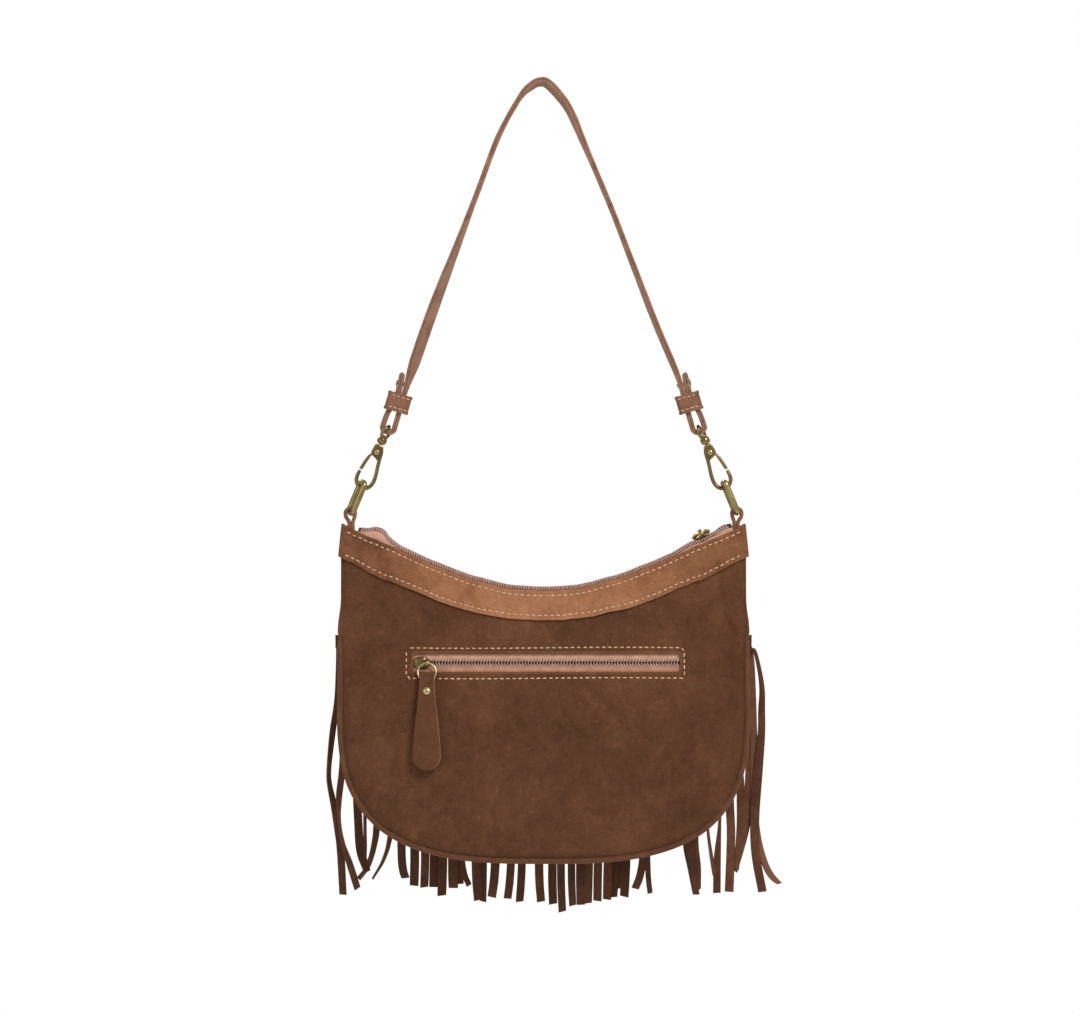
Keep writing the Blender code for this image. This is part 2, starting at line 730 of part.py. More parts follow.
rivet("mouth_pull_rivet", spot, front, reach, 2.6 * MM, tuple(mouth_fold), 0.5 * MM)


# Strap: one length of leather, folded round a swivel eye at each end
right_limb = [(0, 1.65), (6.5, 0.2), (14.5, -10), (28, -38), (45.2, -79.3), (57.5, -112.5)]
right_limb += [(73.8, -156), (86.9, -188.5), (92.2, -206.5)]
left_limb = [(-7.5, 0.0), (-17.3, -9), (-29.6, -33), (-41.9, -67), (-54.3, -100), (-71.8, -146)]
left_limb += [(-86.0, -187), (-92.2, -206.5)]
eye_x = EYE_BAR[0] / MM
eye_z = EYE_BAR[1] / MM
fold_r = FOLD_RADIUS / MM


def limb_end(sign):
    """From the keeper down, round the eye bar and back up to the tail's end."""
    knots = [(94.2, -214.0), (eye_x - fold_r, eye_z)]
    for angle in (30, 60, 90, 120, 150, 180):
        a = math.radians(angle)
        knots.append((eye_x - fold_r * math.cos(a), eye_z - fold_r * math.sin(a)))
    knots += [(101.2, -213.0), (96.6, -206.0), (94.1, -197.0), (91.9, -189.0)]
    return [(sign * x, z) for x, z in knots]


centre_line = (left_limb + limb_end(-1))[::-1] + right_limb + limb_end(1)
strap_path = smooth_path([(x * MM, 0, z * MM) for x, z in centre_line], 2)
points, faces = sweep(strap_path, rectangle(STRAP_WIDTH / 2, STRAP_THICK / 2), ACROSS)
strap = new_object("strap", points, faces, STRAP_LEATHER)

for side_name, sign in (("left", -1), ("right", 1)):

    def world(v, s, y=0.0, tilt=CHAIN_TILT, base=EYE_BAR, sign=sign):
        """A point at `s` down the hook's axis and `v` outwards from it, in millimetres."""
        x = base[0] + (s * math.sin(tilt) + v * math.cos(tilt)) * MM
        z = base[1] + (-s * math.cos(tilt) + v * math.sin(tilt)) * MM
        return Vector((sign * x, y * MM, z))

    # Rivet through the strap and its tail, above the keeper
    along = Vector((sign * 5.0, 0, -17.0)).normalized()
    outward = Vector((sign * 17.0, 0, 5.0)).normalized()
    spot = Vector((sign * 90.9 * MM, 0, -194.5 * MM))
    ends = (spot - outward * 8 * MM, spot + outward * 8 * MM)
    combine(strap, rod("strap_hole_" + side_name, *ends, 1.4 * MM, 12, SUEDE), "DIFFERENCE")
    rivet("strap_rivet_" + side_name, spot, outward, 4.5 * MM, 3.0 * MM, tuple(spot))

    # Keeper: a stitched sleeve around both layers
    middle = Vector((sign * 94.4 * MM, 0, -206.3 * MM))
    corner = 2.2
    points = []
    for length in (-5.5, 5.5):
        for grow in (0.0, 1.8):
            for quarter in range(4):
                for part in (0, 45, 90):
                    a = math.radians(90 * quarter + part)
                    middle_of = math.radians(90 * quarter + 45)
                    cx = math.copysign(6.3 - corner, math.cos(middle_of))
                    cy = math.copysign(6.1 - corner, math.sin(middle_of))
                    u = cx + (corner + grow) * math.cos(a)
                    w = cy + (corner + grow) * math.sin(a)
                    points.append(middle + outward * u * MM + ACROSS * w * MM + along * length * MM)
    faces = []
    for j in range(12):
        i = (j + 1) % 12
        faces.append((j, i, 24 + i, 24 + j))
        faces.append((12 + j, 36 + j, 36 + i, 12 + i))
        faces.append((j, 12 + j, 12 + i, i))
        faces.append((24 + j, 24 + i, 36 + i, 36 + j))
    new_object("strap_keeper_" + side_name, points, faces, STRAP_LEATHER, tuple(middle))

    # Swivel eye: a rounded loop with a bored collar
    loop = []
    half = 7.6
    for k in range(24):
        angle = 2 * math.pi * k / 24
        across = math.copysign(abs(math.cos(angle)) ** 0.6, math.cos(angle)) * half
        down = 4.7 - math.copysign(abs(math.sin(angle)) ** 0.6, math.sin(angle)) * 4.7
        loop.append(world(0, down, across))
    flat = (world(1, 0) - world(0, 0)).normalized()
    points, faces = sweep(loop, circle(EYE_BAR_RADIUS * 0.95, 6), flat, closed=True)
    eye = new_object("swivel_eye_" + side_name, points, faces, ANTIQUE_BRASS, tuple(world(0, 0)), smooth=True)
    collar = rod("eye_collar_" + side_name, world(0, 8.3), world(0, 12.6), 3.1 * MM, 14, ANTIQUE_BRASS)
    combine(eye, collar, "UNION")
    bore = rod("eye_bore_" + side_name, world(0, 6.0), world(0, 15.0), 1.5 * MM, 12, ANTIQUE_BRASS)
    combine(eye, bore, "DIFFERENCE")

    # Hook: stem head, stem, neck, spine, bow and nose as one bent bar, with two cheeks for the gate
    profile = [
        (0, 6.5, 2.0), (0, 7.8, 2.2), (0, 7.85, 1.15), (0, 13.05, 1.15), (0, 13.1, 2.0), (0, 14.2, 2.1),
        (-1.0, 14.8, 1.6), (-3.0, 15.6, 1.35), (-3.6, 17.0, 1.25), (-3.8, 19.5, 1.25),
        (-4.2, 23.0, 1.35), (-5.0, 27.0, 1.35),
        (-6.1, 31.0, 1.35), (-6.8, 35.0, 1.4), (-6.7, 38.2, 1.45), (-5.6, 41.2, 1.5), (-3.4, 43.1, 1.5),
        (-0.8, 43.6, 1.5), (1.7, 42.8, 1.45), (3.7, 40.6, 1.4), (4.5, 38.0, 1.3), (4.5, 35.6, 1.2),
        (4.5, 33.7, 1.0),
    ]
    path = [world(v, s) for v, s, r in profile]
    sections = [circle(r * MM, 8) for v, s, r in profile]
    points, faces = sweep(path, sections, ACROSS)
    hook = new_object("hook_" + side_name, points, faces, ANTIQUE_BRASS, tuple(world(0, 11)), smooth=True)
    pivot = world(-0.4, 18.5)
    for ear_side in (-1, 1):
        outline = [(-3.5, 13.6), (2.3, 13.6), (3.1, 17.5), (2.9, 20.9), (1.0, 21.8), (-3.6, 23.2)]
        points = [world(v, s, ear_side * y) for y in (1.0, 2.25) for v, s in outline]
        n = len(outline)
        faces = [tuple(range(n)), tuple(range(n, 2 * n))]
        faces += [(j, (j + 1) % n, n + (j + 1) % n, n + j) for j in range(n)]
        ear_name = "hook_cheek_" + side_name + ("_a" if ear_side < 0 else "_b")
        combine(hook, new_object(ear_name, points, faces, ANTIQUE_BRASS, tuple(world(0, 11))), "UNION")
    hole_ends = (pivot - ACROSS * 5 * MM, pivot + ACROSS * 5 * MM)
    combine(hook, rod("hook_hole_" + side_name, *hole_ends, 0.94 * MM, 16, ANTIQUE_BRASS), "DIFFERENCE")

    # Gate: a tongue on the pin between the cheeks, with a rod that closes on the nose
    hub_ends = (pivot - ACROSS * 0.72 * MM, pivot + ACROSS * 0.72 * MM)
    gate_hub = rod("gate_hub_" + side_name, *hub_ends, 1.75 * MM, 14, ANTIQUE_BRASS)
    gate_profile = [(0.7, 19.5, 0.7), (2.5, 21.4, 0.75), (3.2, 23.6, 1.1)]
    gate_profile += [(3.8, 27.5, 1.15), (4.4, 32.6, 1.1)]
    points, faces = sweep(
        [world(v, s) for v, s, r in gate_profile],
        [circle(r * MM, 8) for v, s, r in gate_profile],
        ACROSS,
    )
    gate = new_object("hook_gate_" + side_name, points, faces, ANTIQUE_BRASS, tuple(pivot), smooth=True)
    combine(gate, gate_hub, "UNION")
    combine(gate, rod("gate_hole_" + side_name, *hole_ends, 0.94 * MM, 16, ANTIQUE_BRASS), "DIFFERENCE")
    points = []
    for y, radius in ((-3.1, 1.5), (-2.55, 1.7), (-2.55, 0.85), (2.55, 0.85), (2.55, 1.7), (3.1, 1.5)):
        for a, b in circle(radius * MM, 16):
            points.append(pivot + ACROSS * y * MM + EAST * a + NORTH * b)
    faces = [tuple(range(16)), tuple(range(80, 96))]
    for k in range(5):
        here = 16 * k
        faces += [(here + j, here + (j + 1) % 16, here + 16 + (j + 1) % 16, here + 16 + j) for j in range(16)]
    new_object("gate_pin_" + side_name, points, faces, ANTIQUE_BRASS, tuple(pivot), smooth=True)

    # Oval ring between hook and tab
    bar = world(*RING_BAR_AT)
    ring_base = (abs(bar.x), bar.z)
    ring = []
    half_long = RING_LENGTH / MM / 2
    bend = 2.7
    for quarter in range(4):
        for part in (0, 22.5, 45, 67.5, 90):
            a = math.radians(90 * quarter + part)
            middle_of = math.radians(90 * quarter + 45)
            across = math.copysign(RING_HALF_WIDTH / MM - bend, math.cos(middle_of)) + bend * math.cos(a)
            down = half_long - math.copysign(half_long - bend, math.sin(middle_of)) - bend * math.sin(a)
            ring.append(world(0, down, across, RING_TILT, ring_base))
    flat = (world(1, 0, 0, RING_TILT, ring_base) - world(0, 0, 0, RING_TILT, ring_base)).normalized()
    foot = world(0, RING_LENGTH / MM, 0, RING_TILT, ring_base)
    points, faces = sweep(ring, circle(RING_WIRE, 8), flat, closed=True)
    new_object("oval_ring_" + side_name, points, faces, ANTIQUE_BRASS, tuple(foot), smooth=True)

    # Leather tab looped over the ring's lower bar, its legs between the panels
    around = RING_WIRE / MM + 0.5 + TAB_THICK / MM / 2
    foot_x = abs(foot.x) / MM
    foot_z = foot.z / MM
    knots = [(123.6, -305.0), (123.4, -293.5), (foot_x - around * 0.86, foot_z - 4.4)]
    for angle in (0, 30, 60, 90, 120, 150, 180):
        a = math.radians(angle)
        knots.append((foot_x - around * math.cos(a), foot_z + around * math.sin(a)))
    knots += [(foot_x + around * 0.84, foot_z - 4.4), (126.6, -293.5), (126.5, -305.0)]
    path = [(sign * x * MM, 0, z * MM) for x, z in knots]
    points, faces = sweep(path, rectangle(5.0 * MM, TAB_THICK / 2), ACROSS)
    new_object("side_tab_" + side_name, points, faces, SUEDE, tuple(foot))
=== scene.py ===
"""Looks of the fringed suede shoulder bag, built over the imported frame. Lengths here are in millimetres."""
import json
import math
import random

import bmesh
import bpy
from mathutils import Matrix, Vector, noise


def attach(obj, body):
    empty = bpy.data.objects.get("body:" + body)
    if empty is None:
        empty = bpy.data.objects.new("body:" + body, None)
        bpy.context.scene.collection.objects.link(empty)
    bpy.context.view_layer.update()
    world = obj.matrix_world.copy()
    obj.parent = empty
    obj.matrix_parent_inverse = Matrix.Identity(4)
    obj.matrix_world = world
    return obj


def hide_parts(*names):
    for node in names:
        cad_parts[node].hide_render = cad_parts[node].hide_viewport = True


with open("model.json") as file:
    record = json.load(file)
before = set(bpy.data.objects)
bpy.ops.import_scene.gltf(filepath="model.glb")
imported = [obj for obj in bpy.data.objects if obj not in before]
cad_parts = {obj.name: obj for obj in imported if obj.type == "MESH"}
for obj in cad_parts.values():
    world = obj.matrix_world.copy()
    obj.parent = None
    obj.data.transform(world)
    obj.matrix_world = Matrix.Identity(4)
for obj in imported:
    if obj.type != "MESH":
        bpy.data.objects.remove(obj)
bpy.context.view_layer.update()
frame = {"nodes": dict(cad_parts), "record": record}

MM = 0.001
X = Vector((1, 0, 0))
Y = Vector((0, 1, 0))
Z = Vector((0, 0, 1))
JOINT_AT = {j["name"]: Vector(j["pos_m"]) / MM for j in frame["record"]["behaviour"]["joints"] if "pos_m" in j}


# ---------------------------------------------------------------- materials
def tone(r, g, b):
    """A screen colour from 0 to 255 as the linear values that a shader takes."""
    found = []
    for value in (r, g, b):
        v = value / 255
        found.append(v / 12.92 if v <= 0.04045 else ((v + 0.055) / 1.055) ** 2.4)
    return (*found, 1.0)


class Look:
    """A node material, with short calls for the nodes that these materials share."""

    def __init__(self, name, roughness=0.9, metallic=0.0, sheen=0.0, sheen_tint=(1, 1, 1, 1), specular=0.5):
        self.made = bpy.data.materials.new(name)
        self.made.use_nodes = True
        self.tree = self.made.node_tree
        self.shader = self.tree.nodes["Principled BSDF"]
        self.shader.inputs["Roughness"].default_value = roughness
        self.shader.inputs["Metallic"].default_value = metallic
        self.shader.inputs["Sheen Weight"].default_value = sheen
        self.shader.inputs["Sheen Tint"].default_value = sheen_tint
        self.shader.inputs["Sheen Roughness"].default_value = 0.5
        self.shader.inputs["Specular IOR Level"].default_value = specular
        self.coords = self.node("ShaderNodeTexCoord").outputs["Object"]

    def node(self, kind, **settings):
        made = self.tree.nodes.new(kind)
        for key, value in settings.items():
            if hasattr(made, key):
                setattr(made, key, value)
        return made

    def link(self, a, b):
        self.tree.links.new(a, b)

    def noise(self, scale, detail=3.0, rough=0.55, stretch=(1, 1, 1), distortion=0.0):
        place = self.node("ShaderNodeMapping")
        place.inputs["Scale"].default_value = stretch
        self.link(self.coords, place.inputs["Vector"])
        made = self.node("ShaderNodeTexNoise")
        made.inputs["Scale"].default_value = scale
        made.inputs["Detail"].default_value = detail
        made.inputs["Roughness"].default_value = rough
        made.inputs["Distortion"].default_value = distortion
        self.link(place.outputs["Vector"], made.inputs["Vector"])
        return made.outputs["Fac"]

    def attribute(self, name):
        return self.node("ShaderNodeAttribute", attribute_name=name).outputs["Fac"]

    def math(self, kind, a, b=0.0, clamp=False):
        made = self.node("ShaderNodeMath", operation=kind, use_clamp=clamp)
        for k, value in enumerate((a, b)):
            if isinstance(value, (int, float)):
                made.inputs[k].default_value = value
            else:
                self.link(value, made.inputs[k])
        return made.outputs[0]

    def ramp(self, value, stops):
        made = self.node("ShaderNodeValToRGB")
        line = made.color_ramp
        while len(line.elements) < len(stops):
            line.elements.new(0.5)
        for element, (at, colour) in zip(line.elements, stops):
            element.position = at
            element.color = colour
        self.link(value, made.inputs["Fac"])
        return made.outputs["Color"]

    def bump(self, height, depth, strength=1.0, under=None):
        made = self.node("ShaderNodeBump")
        made.inputs["Distance"].default_value = depth
        made.inputs["Strength"].default_value = strength
        self.link(height, made.inputs["Height"])
        if under is not None:
            self.link(under, made.inputs["Normal"])
        return made.outputs["Normal"]

    def done(self, colour=None, normal=None, roughness=None):
        for value, socket in ((colour, "Base Color"), (normal, "Normal"), (roughness, "Roughness")):
            if value is not None:
                self.link(value, self.shader.inputs[socket])
        return self.made


def suede(name, dark, middle, light, broad=19.0, contrast=1.0, sheen=0.25, attribute=None):
    """Brushed split leather: cloudy patches, short brush marks and a fine felted nap."""
    look = Look(name, 0.96, sheen=sheen, sheen_tint=(0.9, 0.62, 0.45, 1), specular=0.12)
    clouds = look.noise(broad, 4.0, 0.6, (1, 1, 1.25), 0.6)
    marks = look.noise(110.0, 4.0, 0.68, (1, 1, 0.75), 0.9)
    nap = look.noise(620.0, 3.0, 0.7)
    grain = look.noise(2100.0, 2.0, 0.6)
    value = look.math("ADD", look.math("MULTIPLY", clouds, 0.42), look.math("MULTIPLY", marks, 0.34))
    value = look.math("ADD", value, look.math("MULTIPLY", nap, 0.24))
    value = look.math("ADD", look.math("MULTIPLY", look.math("SUBTRACT", value, 0.5), 2.2 * contrast), 0.5, True)
    # The optional point attribute shifts the tone; on the band and the fringe it carries painted light and shade.
    if attribute:
        value = look.math("ADD", value, look.math("SUBTRACT", look.attribute(attribute), 0.5), True)
    fleck = look.noise(420.0, 1.0, 0.5)
    fleck = look.math("MULTIPLY", look.math("SUBTRACT", fleck, 0.66), 3.4, True)
    value = look.math("ADD", value, look.math("MULTIPLY", fleck, 0.6), True)
    colour = look.ramp(value, [(0.0, dark), (0.5, middle), (1.0, light)])
    fine = look.bump(grain, 0.00025, 0.55)
    fine = look.bump(nap, 0.0005, 0.5, fine)
    return look.done(colour, look.bump(marks, 0.0009, 0.3, fine))


PANEL = suede("panel_suede", tone(64, 38, 25), tone(96, 61, 41), tone(124, 84, 60), sheen=0.22)
# The band's suede takes the point attribute shade, which paints light and shade along the band.
BAND = suede("band_suede", tone(104, 66, 44), tone(150, 100, 70), tone(186, 132, 96), 26.0, 1.0, 0.3, "shade")
BAND_EDGE = suede("band_cut_edge", tone(128, 86, 66), tone(168, 120, 96), tone(200, 150, 124), 60.0, 0.8, 0.2)
TAB = suede("tab_suede", tone(104, 66, 46), tone(142, 98, 72), tone(180, 132, 104), 60.0, 1.0, 0.25)
PIPING = suede("piping_suede", tone(74, 45, 31), tone(102, 66, 46), tone(128, 87, 63), 40.0, 0.9, 0.25)
# The fringe's suede takes shade too: a random tone for each strand, with painted shade on the strands behind and
# painted light on the yoke and the spur strand.
FRINGE = suede("fringe_suede", tone(58, 34, 25), tone(92, 59, 43), tone(126, 87, 64), 30.0, 0.8, 0.25, "shade")
FRINGE_EDGE = suede("fringe_cut_edge", tone(84, 52, 38), tone(128, 86, 62), tone(158, 112, 84), 70.0, 0.9, 0.2)
PULL = suede("pull_suede", tone(78, 48, 32), tone(98, 63, 43), tone(120, 80, 57), 50.0, 0.8, 0.3)
PULL_EDGE = suede("pull_cut_edge", tone(128, 88, 64), tone(160, 116, 88), tone(190, 142, 112), 90.0, 1.0, 0.2)
GUSSET = suede("gusset_suede", tone(60, 36, 24), tone(90, 57, 39), tone(116, 78, 56), sheen=0.22)


def grained(name, dark, middle, light, roughness=0.62):
    """Smooth leather with pores and creases, for the strap and its keepers."""
    look = Look(name, roughness, sheen=0.12, sheen_tint=(1, 0.8, 0.7, 1), specular=0.32)
    clouds = look.noise(70.0, 4.0, 0.65, (1, 1, 1), 0.8)
    pores = look.noise(900.0, 3.0, 0.7)
    cracks = look.node("ShaderNodeTexVoronoi", feature="DISTANCE_TO_EDGE")
    cracks.inputs["Scale"].default_value = 620.0
    look.link(look.coords, cracks.inputs["Vector"])
    value = look.math("ADD", look.math("MULTIPLY", clouds, 0.55), look.math("MULTIPLY", pores, 0.45))
    value = look.math("ADD", look.math("MULTIPLY", look.math("SUBTRACT", value, 0.5), 2.4), 0.5, True)
    colour = look.ramp(value, [(0.0, dark), (0.5, middle), (1.0, light)])
    fine = look.bump(pores, 0.0004, 0.5)
    return look.done(colour, look.bump(cracks.outputs["Distance"], 0.0005, 0.25, fine))


STRAP = grained("strap_leather", tone(114, 76, 56), tone(148, 107, 84), tone(178, 138, 112))
STRAP_EDGE = grained("strap_cut_edge", tone(92, 58, 42), tone(132, 92, 72), tone(176, 132, 108), 0.7)
KEEPER = grained("keeper_leather", tone(96, 60, 42), tone(134, 91, 68), tone(164, 118, 92))


def woven(name, dark, light, threads=1500.0, roughness=0.85):
    """Twill tape or lining cloth."""
    look = Look(name, roughness, sheen=0.15, sheen_tint=(1, 0.85, 0.75, 1), specular=0.25)
    ribs = look.node("ShaderNodeTexWave", bands_direction="DIAGONAL")
    ribs.inputs["Scale"].default_value = threads / 6.3
    ribs.inputs["Distortion"].default_value = 0.8
    look.link(look.coords, ribs.inputs["Vector"])
    clouds = look.noise(140.0, 3.0)
    value = look.math("ADD", look.math("MULTIPLY", ribs.outputs["Fac"], 0.16), look.math("MULTIPLY", clouds, 0.84))
    colour = look.ramp(value, [(0.2, dark), (0.8, light)])
    return look.done(colour, look.bump(ribs.outputs["Fac"], 0.0001, 0.5))


TAPE = woven("pocket_zip_tape", tone(156, 110, 86), tone(208, 158, 132))
# A lighter copy of the tape for the upper strip: painted light, standing in for the strip tilting up towards the
# light.
PAINTED_LIGHT_TAPE = woven("pocket_zip_tape_upper_painted_light", tone(186, 138, 112), tone(234, 188, 162))
MOUTH_TAPE = woven("mouth_zip_tape", tone(190, 144, 122), tone(228, 186, 164))
LINING = woven("lining_cloth", tone(150, 112, 88), tone(190, 150, 122), 1100.0)


def thread_look():
    look = Look("stitch_thread", 0.6, sheen=0.2, specular=0.4)
    value = look.noise(260.0, 2.0)
    colour = look.ramp(value, [(0.25, tone(206, 156, 122)), (0.75, tone(246, 208, 178))])
    ply = look.noise(2600.0, 2.0, 0.6, (1, 1, 0.4))
    return look.done(colour, look.bump(ply, 0.0002, 0.7))


def coil_look():
    look = Look("nylon_coil", 0.36)
    value = look.noise(500.0, 2.0)
    colour = look.ramp(value, [(0.2, tone(168, 128, 114)), (0.8, tone(226, 190, 174))])
    return look.done(colour, look.bump(look.noise(2400.0, 1.0), 0.0001, 0.4))


def brass_look(name, recess, worn, high, roughness=0.3):
    """Antique brass: dark in its hollows, rubbed pale on its edges."""
    look = Look(name, roughness, 1.0, specular=0.5)
    clouds = look.noise(70.0, 2.0, 0.5)
    point = look.node("ShaderNodeNewGeometry").outputs["Pointiness"]
    edge = look.math("MULTIPLY", look.math("SUBTRACT", point, 0.5), 4.0)
    value = look.math("ADD", look.math("ADD", look.math("MULTIPLY", clouds, 0.55), edge), 0.2, True)
    colour = look.ramp(value, [(0.15, recess), (0.5, worn), (0.85, high)])
    rough = look.math("ADD", look.math("MULTIPLY", look.noise(420.0, 3.0), 0.3), roughness - 0.12)
    return look.done(colour, look.bump(look.noise(300.0, 2.0), 0.00005, 0.15), rough)


THREAD = thread_look()
COIL = coil_look()
BRASS = brass_look("antique_brass", tone(52, 40, 24), tone(118, 97, 60), tone(178, 156, 106))
RING_BRASS = brass_look("ring_brass", tone(66, 54, 30), tone(142, 122, 80), tone(206, 186, 134), 0.28)
PALE_BRASS = brass_look("pale_brass", tone(96, 78, 46), tone(178, 156, 106), tone(232, 216, 168), 0.26)


# ---------------------------------------------------------------- mesh helpers
def add(name, points, faces, looks, body="bag", nodes=(), slot=None, picks=None, angle=38.0, shade=None):
    """A piece from points in millimetres; `picks` gives each face's material, `shade` each point's tone, which on
    the band and the fringe also holds painted light and shade.
    """
    mesh = bpy.data.meshes.new(name)
    mesh.from_pydata([tuple(Vector(p) * MM) for p in points], [], faces)
    looks = looks if isinstance(looks, (list, tuple)) else [looks]
    for look in looks:
        mesh.materials.append(look)
    if picks is not None:
        mesh.polygons.foreach_set("material_index", picks)
    if shade is not None:
        layer = mesh.attributes.new("shade", "FLOAT", "POINT")
        layer.data.foreach_set("value", shade)
    work = bmesh.new()
    work.from_mesh(mesh)
    bmesh.ops.recalc_face_normals(work, faces=work.faces)
    work.to_mesh(mesh)
    work.free()
    mesh.shade_smooth()
    mesh.set_sharp_from_angle(angle=math.radians(angle))
    made = bpy.data.objects.new(name, mesh)
    bpy.context.scene.collection.objects.link(made)
    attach(made, body)
    if nodes:
        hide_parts(*nodes)
    return made


class Heap:
    """Many small closed bodies gathered into one piece."""

    def __init__(self):
        self.points = []
        self.faces = []
        self.picks = []
        self.shade = []

    def put(self, points, faces, pick=0, shade=0.5):
        first = len(self.points)
        self.points += [Vector(p) for p in points]
        self.faces += [tuple(first + v for v in face) for face in faces]
        self.picks += pick if isinstance(pick, list) else [pick] * len(faces)
        self.shade += shade if isinstance(shade, list) else [shade] * len(points)

    def add(self, name, looks, **more):
        return add(name, self.points, self.faces, looks, picks=self.picks, shade=self.shade, **more)


def circle(radius, count):
    turn = 2 * math.pi / count
    return [(radius * math.cos(turn * k), radius * math.sin(turn * k)) for k in range(count)]


def sweep(path, sections, side, closed=False):
    """A body along a path; `side` is one direction for all of it or one for each point."""
    path = [Vector(p) for p in path]
    count = len(path)
    points = []
    for k, centre in enumerate(path):
        before = path[(k - 1) % count] if closed or k > 0 else centre
        after = path[(k + 1) % count] if closed or k < count - 1 else centre
        along = (after - before).normalized()
        lean = side[k] if isinstance(side, list) else side
        up = lean.cross(along).normalized()
        wide = along.cross(up).normalized()
        section = sections[k] if isinstance(sections[0], list) else sections
        points += [centre + wide * a + up * b for a, b in section]
    n = len(points) // count
    faces = []
    for k in range(count if closed else count - 1):
        here = k * n
        there = ((k + 1) % count) * n
        faces += [(here + j, here + (j + 1) % n, there + (j + 1) % n, there + j) for j in range(n)]
    if not closed:
        faces.append(tuple(range(n)))
        faces.append(tuple(range(len(points) - n, len(points))))
    return points, faces


def smooth_path(knots, steps):
    """A curve through the knots."""
    knots = [Vector(k) for k in knots]
    full = [2 * knots[0] - knots[1], *knots, 2 * knots[-1] - knots[-2]]
    found = []
    for k in range(1, len(full) - 2):
        a, b, c, d = full[k - 1 : k + 3]
        for step in range(steps):
            t = step / steps
            curve = (c - a) * t + (2 * a - 5 * b + 4 * c - d) * t * t + (3 * b - a - 3 * c + d) * t**3
            found.append(0.5 * (2 * b + curve))
    found.append(knots[-1])
    return found


def between(x, knots):
    """A smooth value through (x, value) knots."""
    if x <= knots[0][0]:
        return knots[0][1]
    for (xa, va), (xb, vb) in zip(knots, knots[1:]):
        if x <= xb:
            return va + (vb - va) * step_up((x - xa) / (xb - xa))
    return knots[-1][1]


def step_up(t):
    """A smooth rise from 0 to 1."""
    t = min(max(t, 0.0), 1.0)
    return t * t * (3 - 2 * t)


def rounded(half_width, half_thick, corner, parts=3):
    """A rounded rectangle section."""
    found = []
    for quarter in range(4):
        middle = math.radians(90 * quarter + 45)
        cx = math.copysign(half_width - corner, math.cos(middle))
        cy = math.copysign(half_thick - corner, math.sin(middle))
        for part in range(parts + 1):
            a = math.radians(90 * quarter + 90 * part / parts)
            found.append((cx + corner * math.cos(a), cy + corner * math.sin(a)))
    return found


def tube_faces(count, rings):
    """The faces of a body made of equal rings, its two ends first."""
    faces = [tuple(range(count)), tuple(range(count * (rings - 1), count * rings))]
    for first in range(0, count * (rings - 1), count):
        for j in range(count):
            k = (j + 1) % count
            faces.append((first + j, first + k, first + count + k, first + count + j))
    return faces


def lathe(base, axis, profile, count=28):
    """A turned body from (distance along the axis, radius) pairs."""
    axis = Vector(axis).normalized()
    side = axis.orthogonal().normalized()
    up = axis.cross(side)
    points = []
    for along, radius in profile:
        points += [Vector(base) + axis * along + side * a + up * b for a, b in circle(radius, count)]
    return points, tube_faces(count, len(profile))


def sheet(name, inner, outer, looks, skip=(), rim=0, shade=None, **more):
    """A closed sheet between two grids of points; its rim faces take material number `rim`."""
    rows = len(inner)
    columns = len(inner[0])
    points = [p for row in inner for p in row] + [p for row in outer for p in row]
    tones = [s for row in shade for s in row] * 2 if shade else [0.5] * len(points)
    layer = rows * columns
    cells = {(i, j) for i in range(rows - 1) for j in range(columns - 1)} - set(skip)
    faces = []
    picks = []
    for i, j in sorted(cells):
        a = i * columns + j
        corner = [a, a + 1, a + columns + 1, a + columns]
        faces += [tuple(corner), tuple(c + layer for c in reversed(corner))]
        picks += [0, 0]
        for k, other in enumerate([(i - 1, j), (i, j + 1), (i + 1, j), (i, j - 1)]):
            if other not in cells:
                p = corner[k]
                q = corner[(k + 1) % 4]
                faces.append((q, p, p + layer, q + layer))
                picks.append(rim)
    used = sorted({v for face in faces for v in face})
    number = {v: k for k, v in enumerate(used)}
    faces = [tuple(number[v] for v in face) for face in faces]
    tones = [tones[v] for v in used]
    return add(name, [points[v] for v in used], faces, looks, picks=picks, shade=tones, **more)


def measured(path):
    """The length run at each point of a path."""
    total = [0.0]
    for a, b in zip(path, path[1:]):
        total.append(total[-1] + (b - a).length)
    return total


def stitches(heap, path, outward, pitch=4.0, length=2.75, radius=0.42, start=1.0, dice=None):
    """Thread stitches along a path; `outward` gives the leather's face at each of its points."""
    total = measured(path)
    at = start + length / 2
    k = 0
    while at < total[-1] - length / 2:
        while total[k + 1] < at:
            k += 1
        share = (at - total[k]) / (total[k + 1] - total[k])
        centre = path[k].lerp(path[k + 1], share)
        out = outward[k].lerp(outward[k + 1], share).normalized()
        along = (path[k + 1] - path[k]).normalized()
        along = (along + along.cross(out) * dice.uniform(-0.13, 0.13)).normalized()
        wide = along.cross(out).normalized()
        size = length * dice.uniform(0.9, 1.06)
        points = []
        for u in (-1, -0.78, -0.45, 0, 0.45, 0.78, 1):
            height = radius * (0.75 - 1.9 * u**4)
            thick = radius * (1 - 0.3 * u**4)
            for a, b in circle(thick, 7):
                points.append(centre + along * u * size / 2 + wide * a + out * (height + b))
        heap.put(points, tube_faces(7, 7))
        at += pitch * dice.uniform(0.97, 1.03)


# ---------------------------------------------------------------- the shell's shape
HALF_WIDTH = 130.3
CURVE_TOP = -400  # where the sides start to curve in
CURVE_DEPTH = 101.5
BOTTOM = -501.5
MOUTH_CENTRE = -133.5  # height of the centre of the mouth's arc
MOUTH_RADIUS = 195
WINDOW = (-85.0, 89.0, -381.5, -368.5)  # left, right, low, high


def half_depth(z):
    """Half the bag's thickness, which fills out below the mouth."""
    return 5.8 + 16.2 * step_up((-300 - z) / 150)


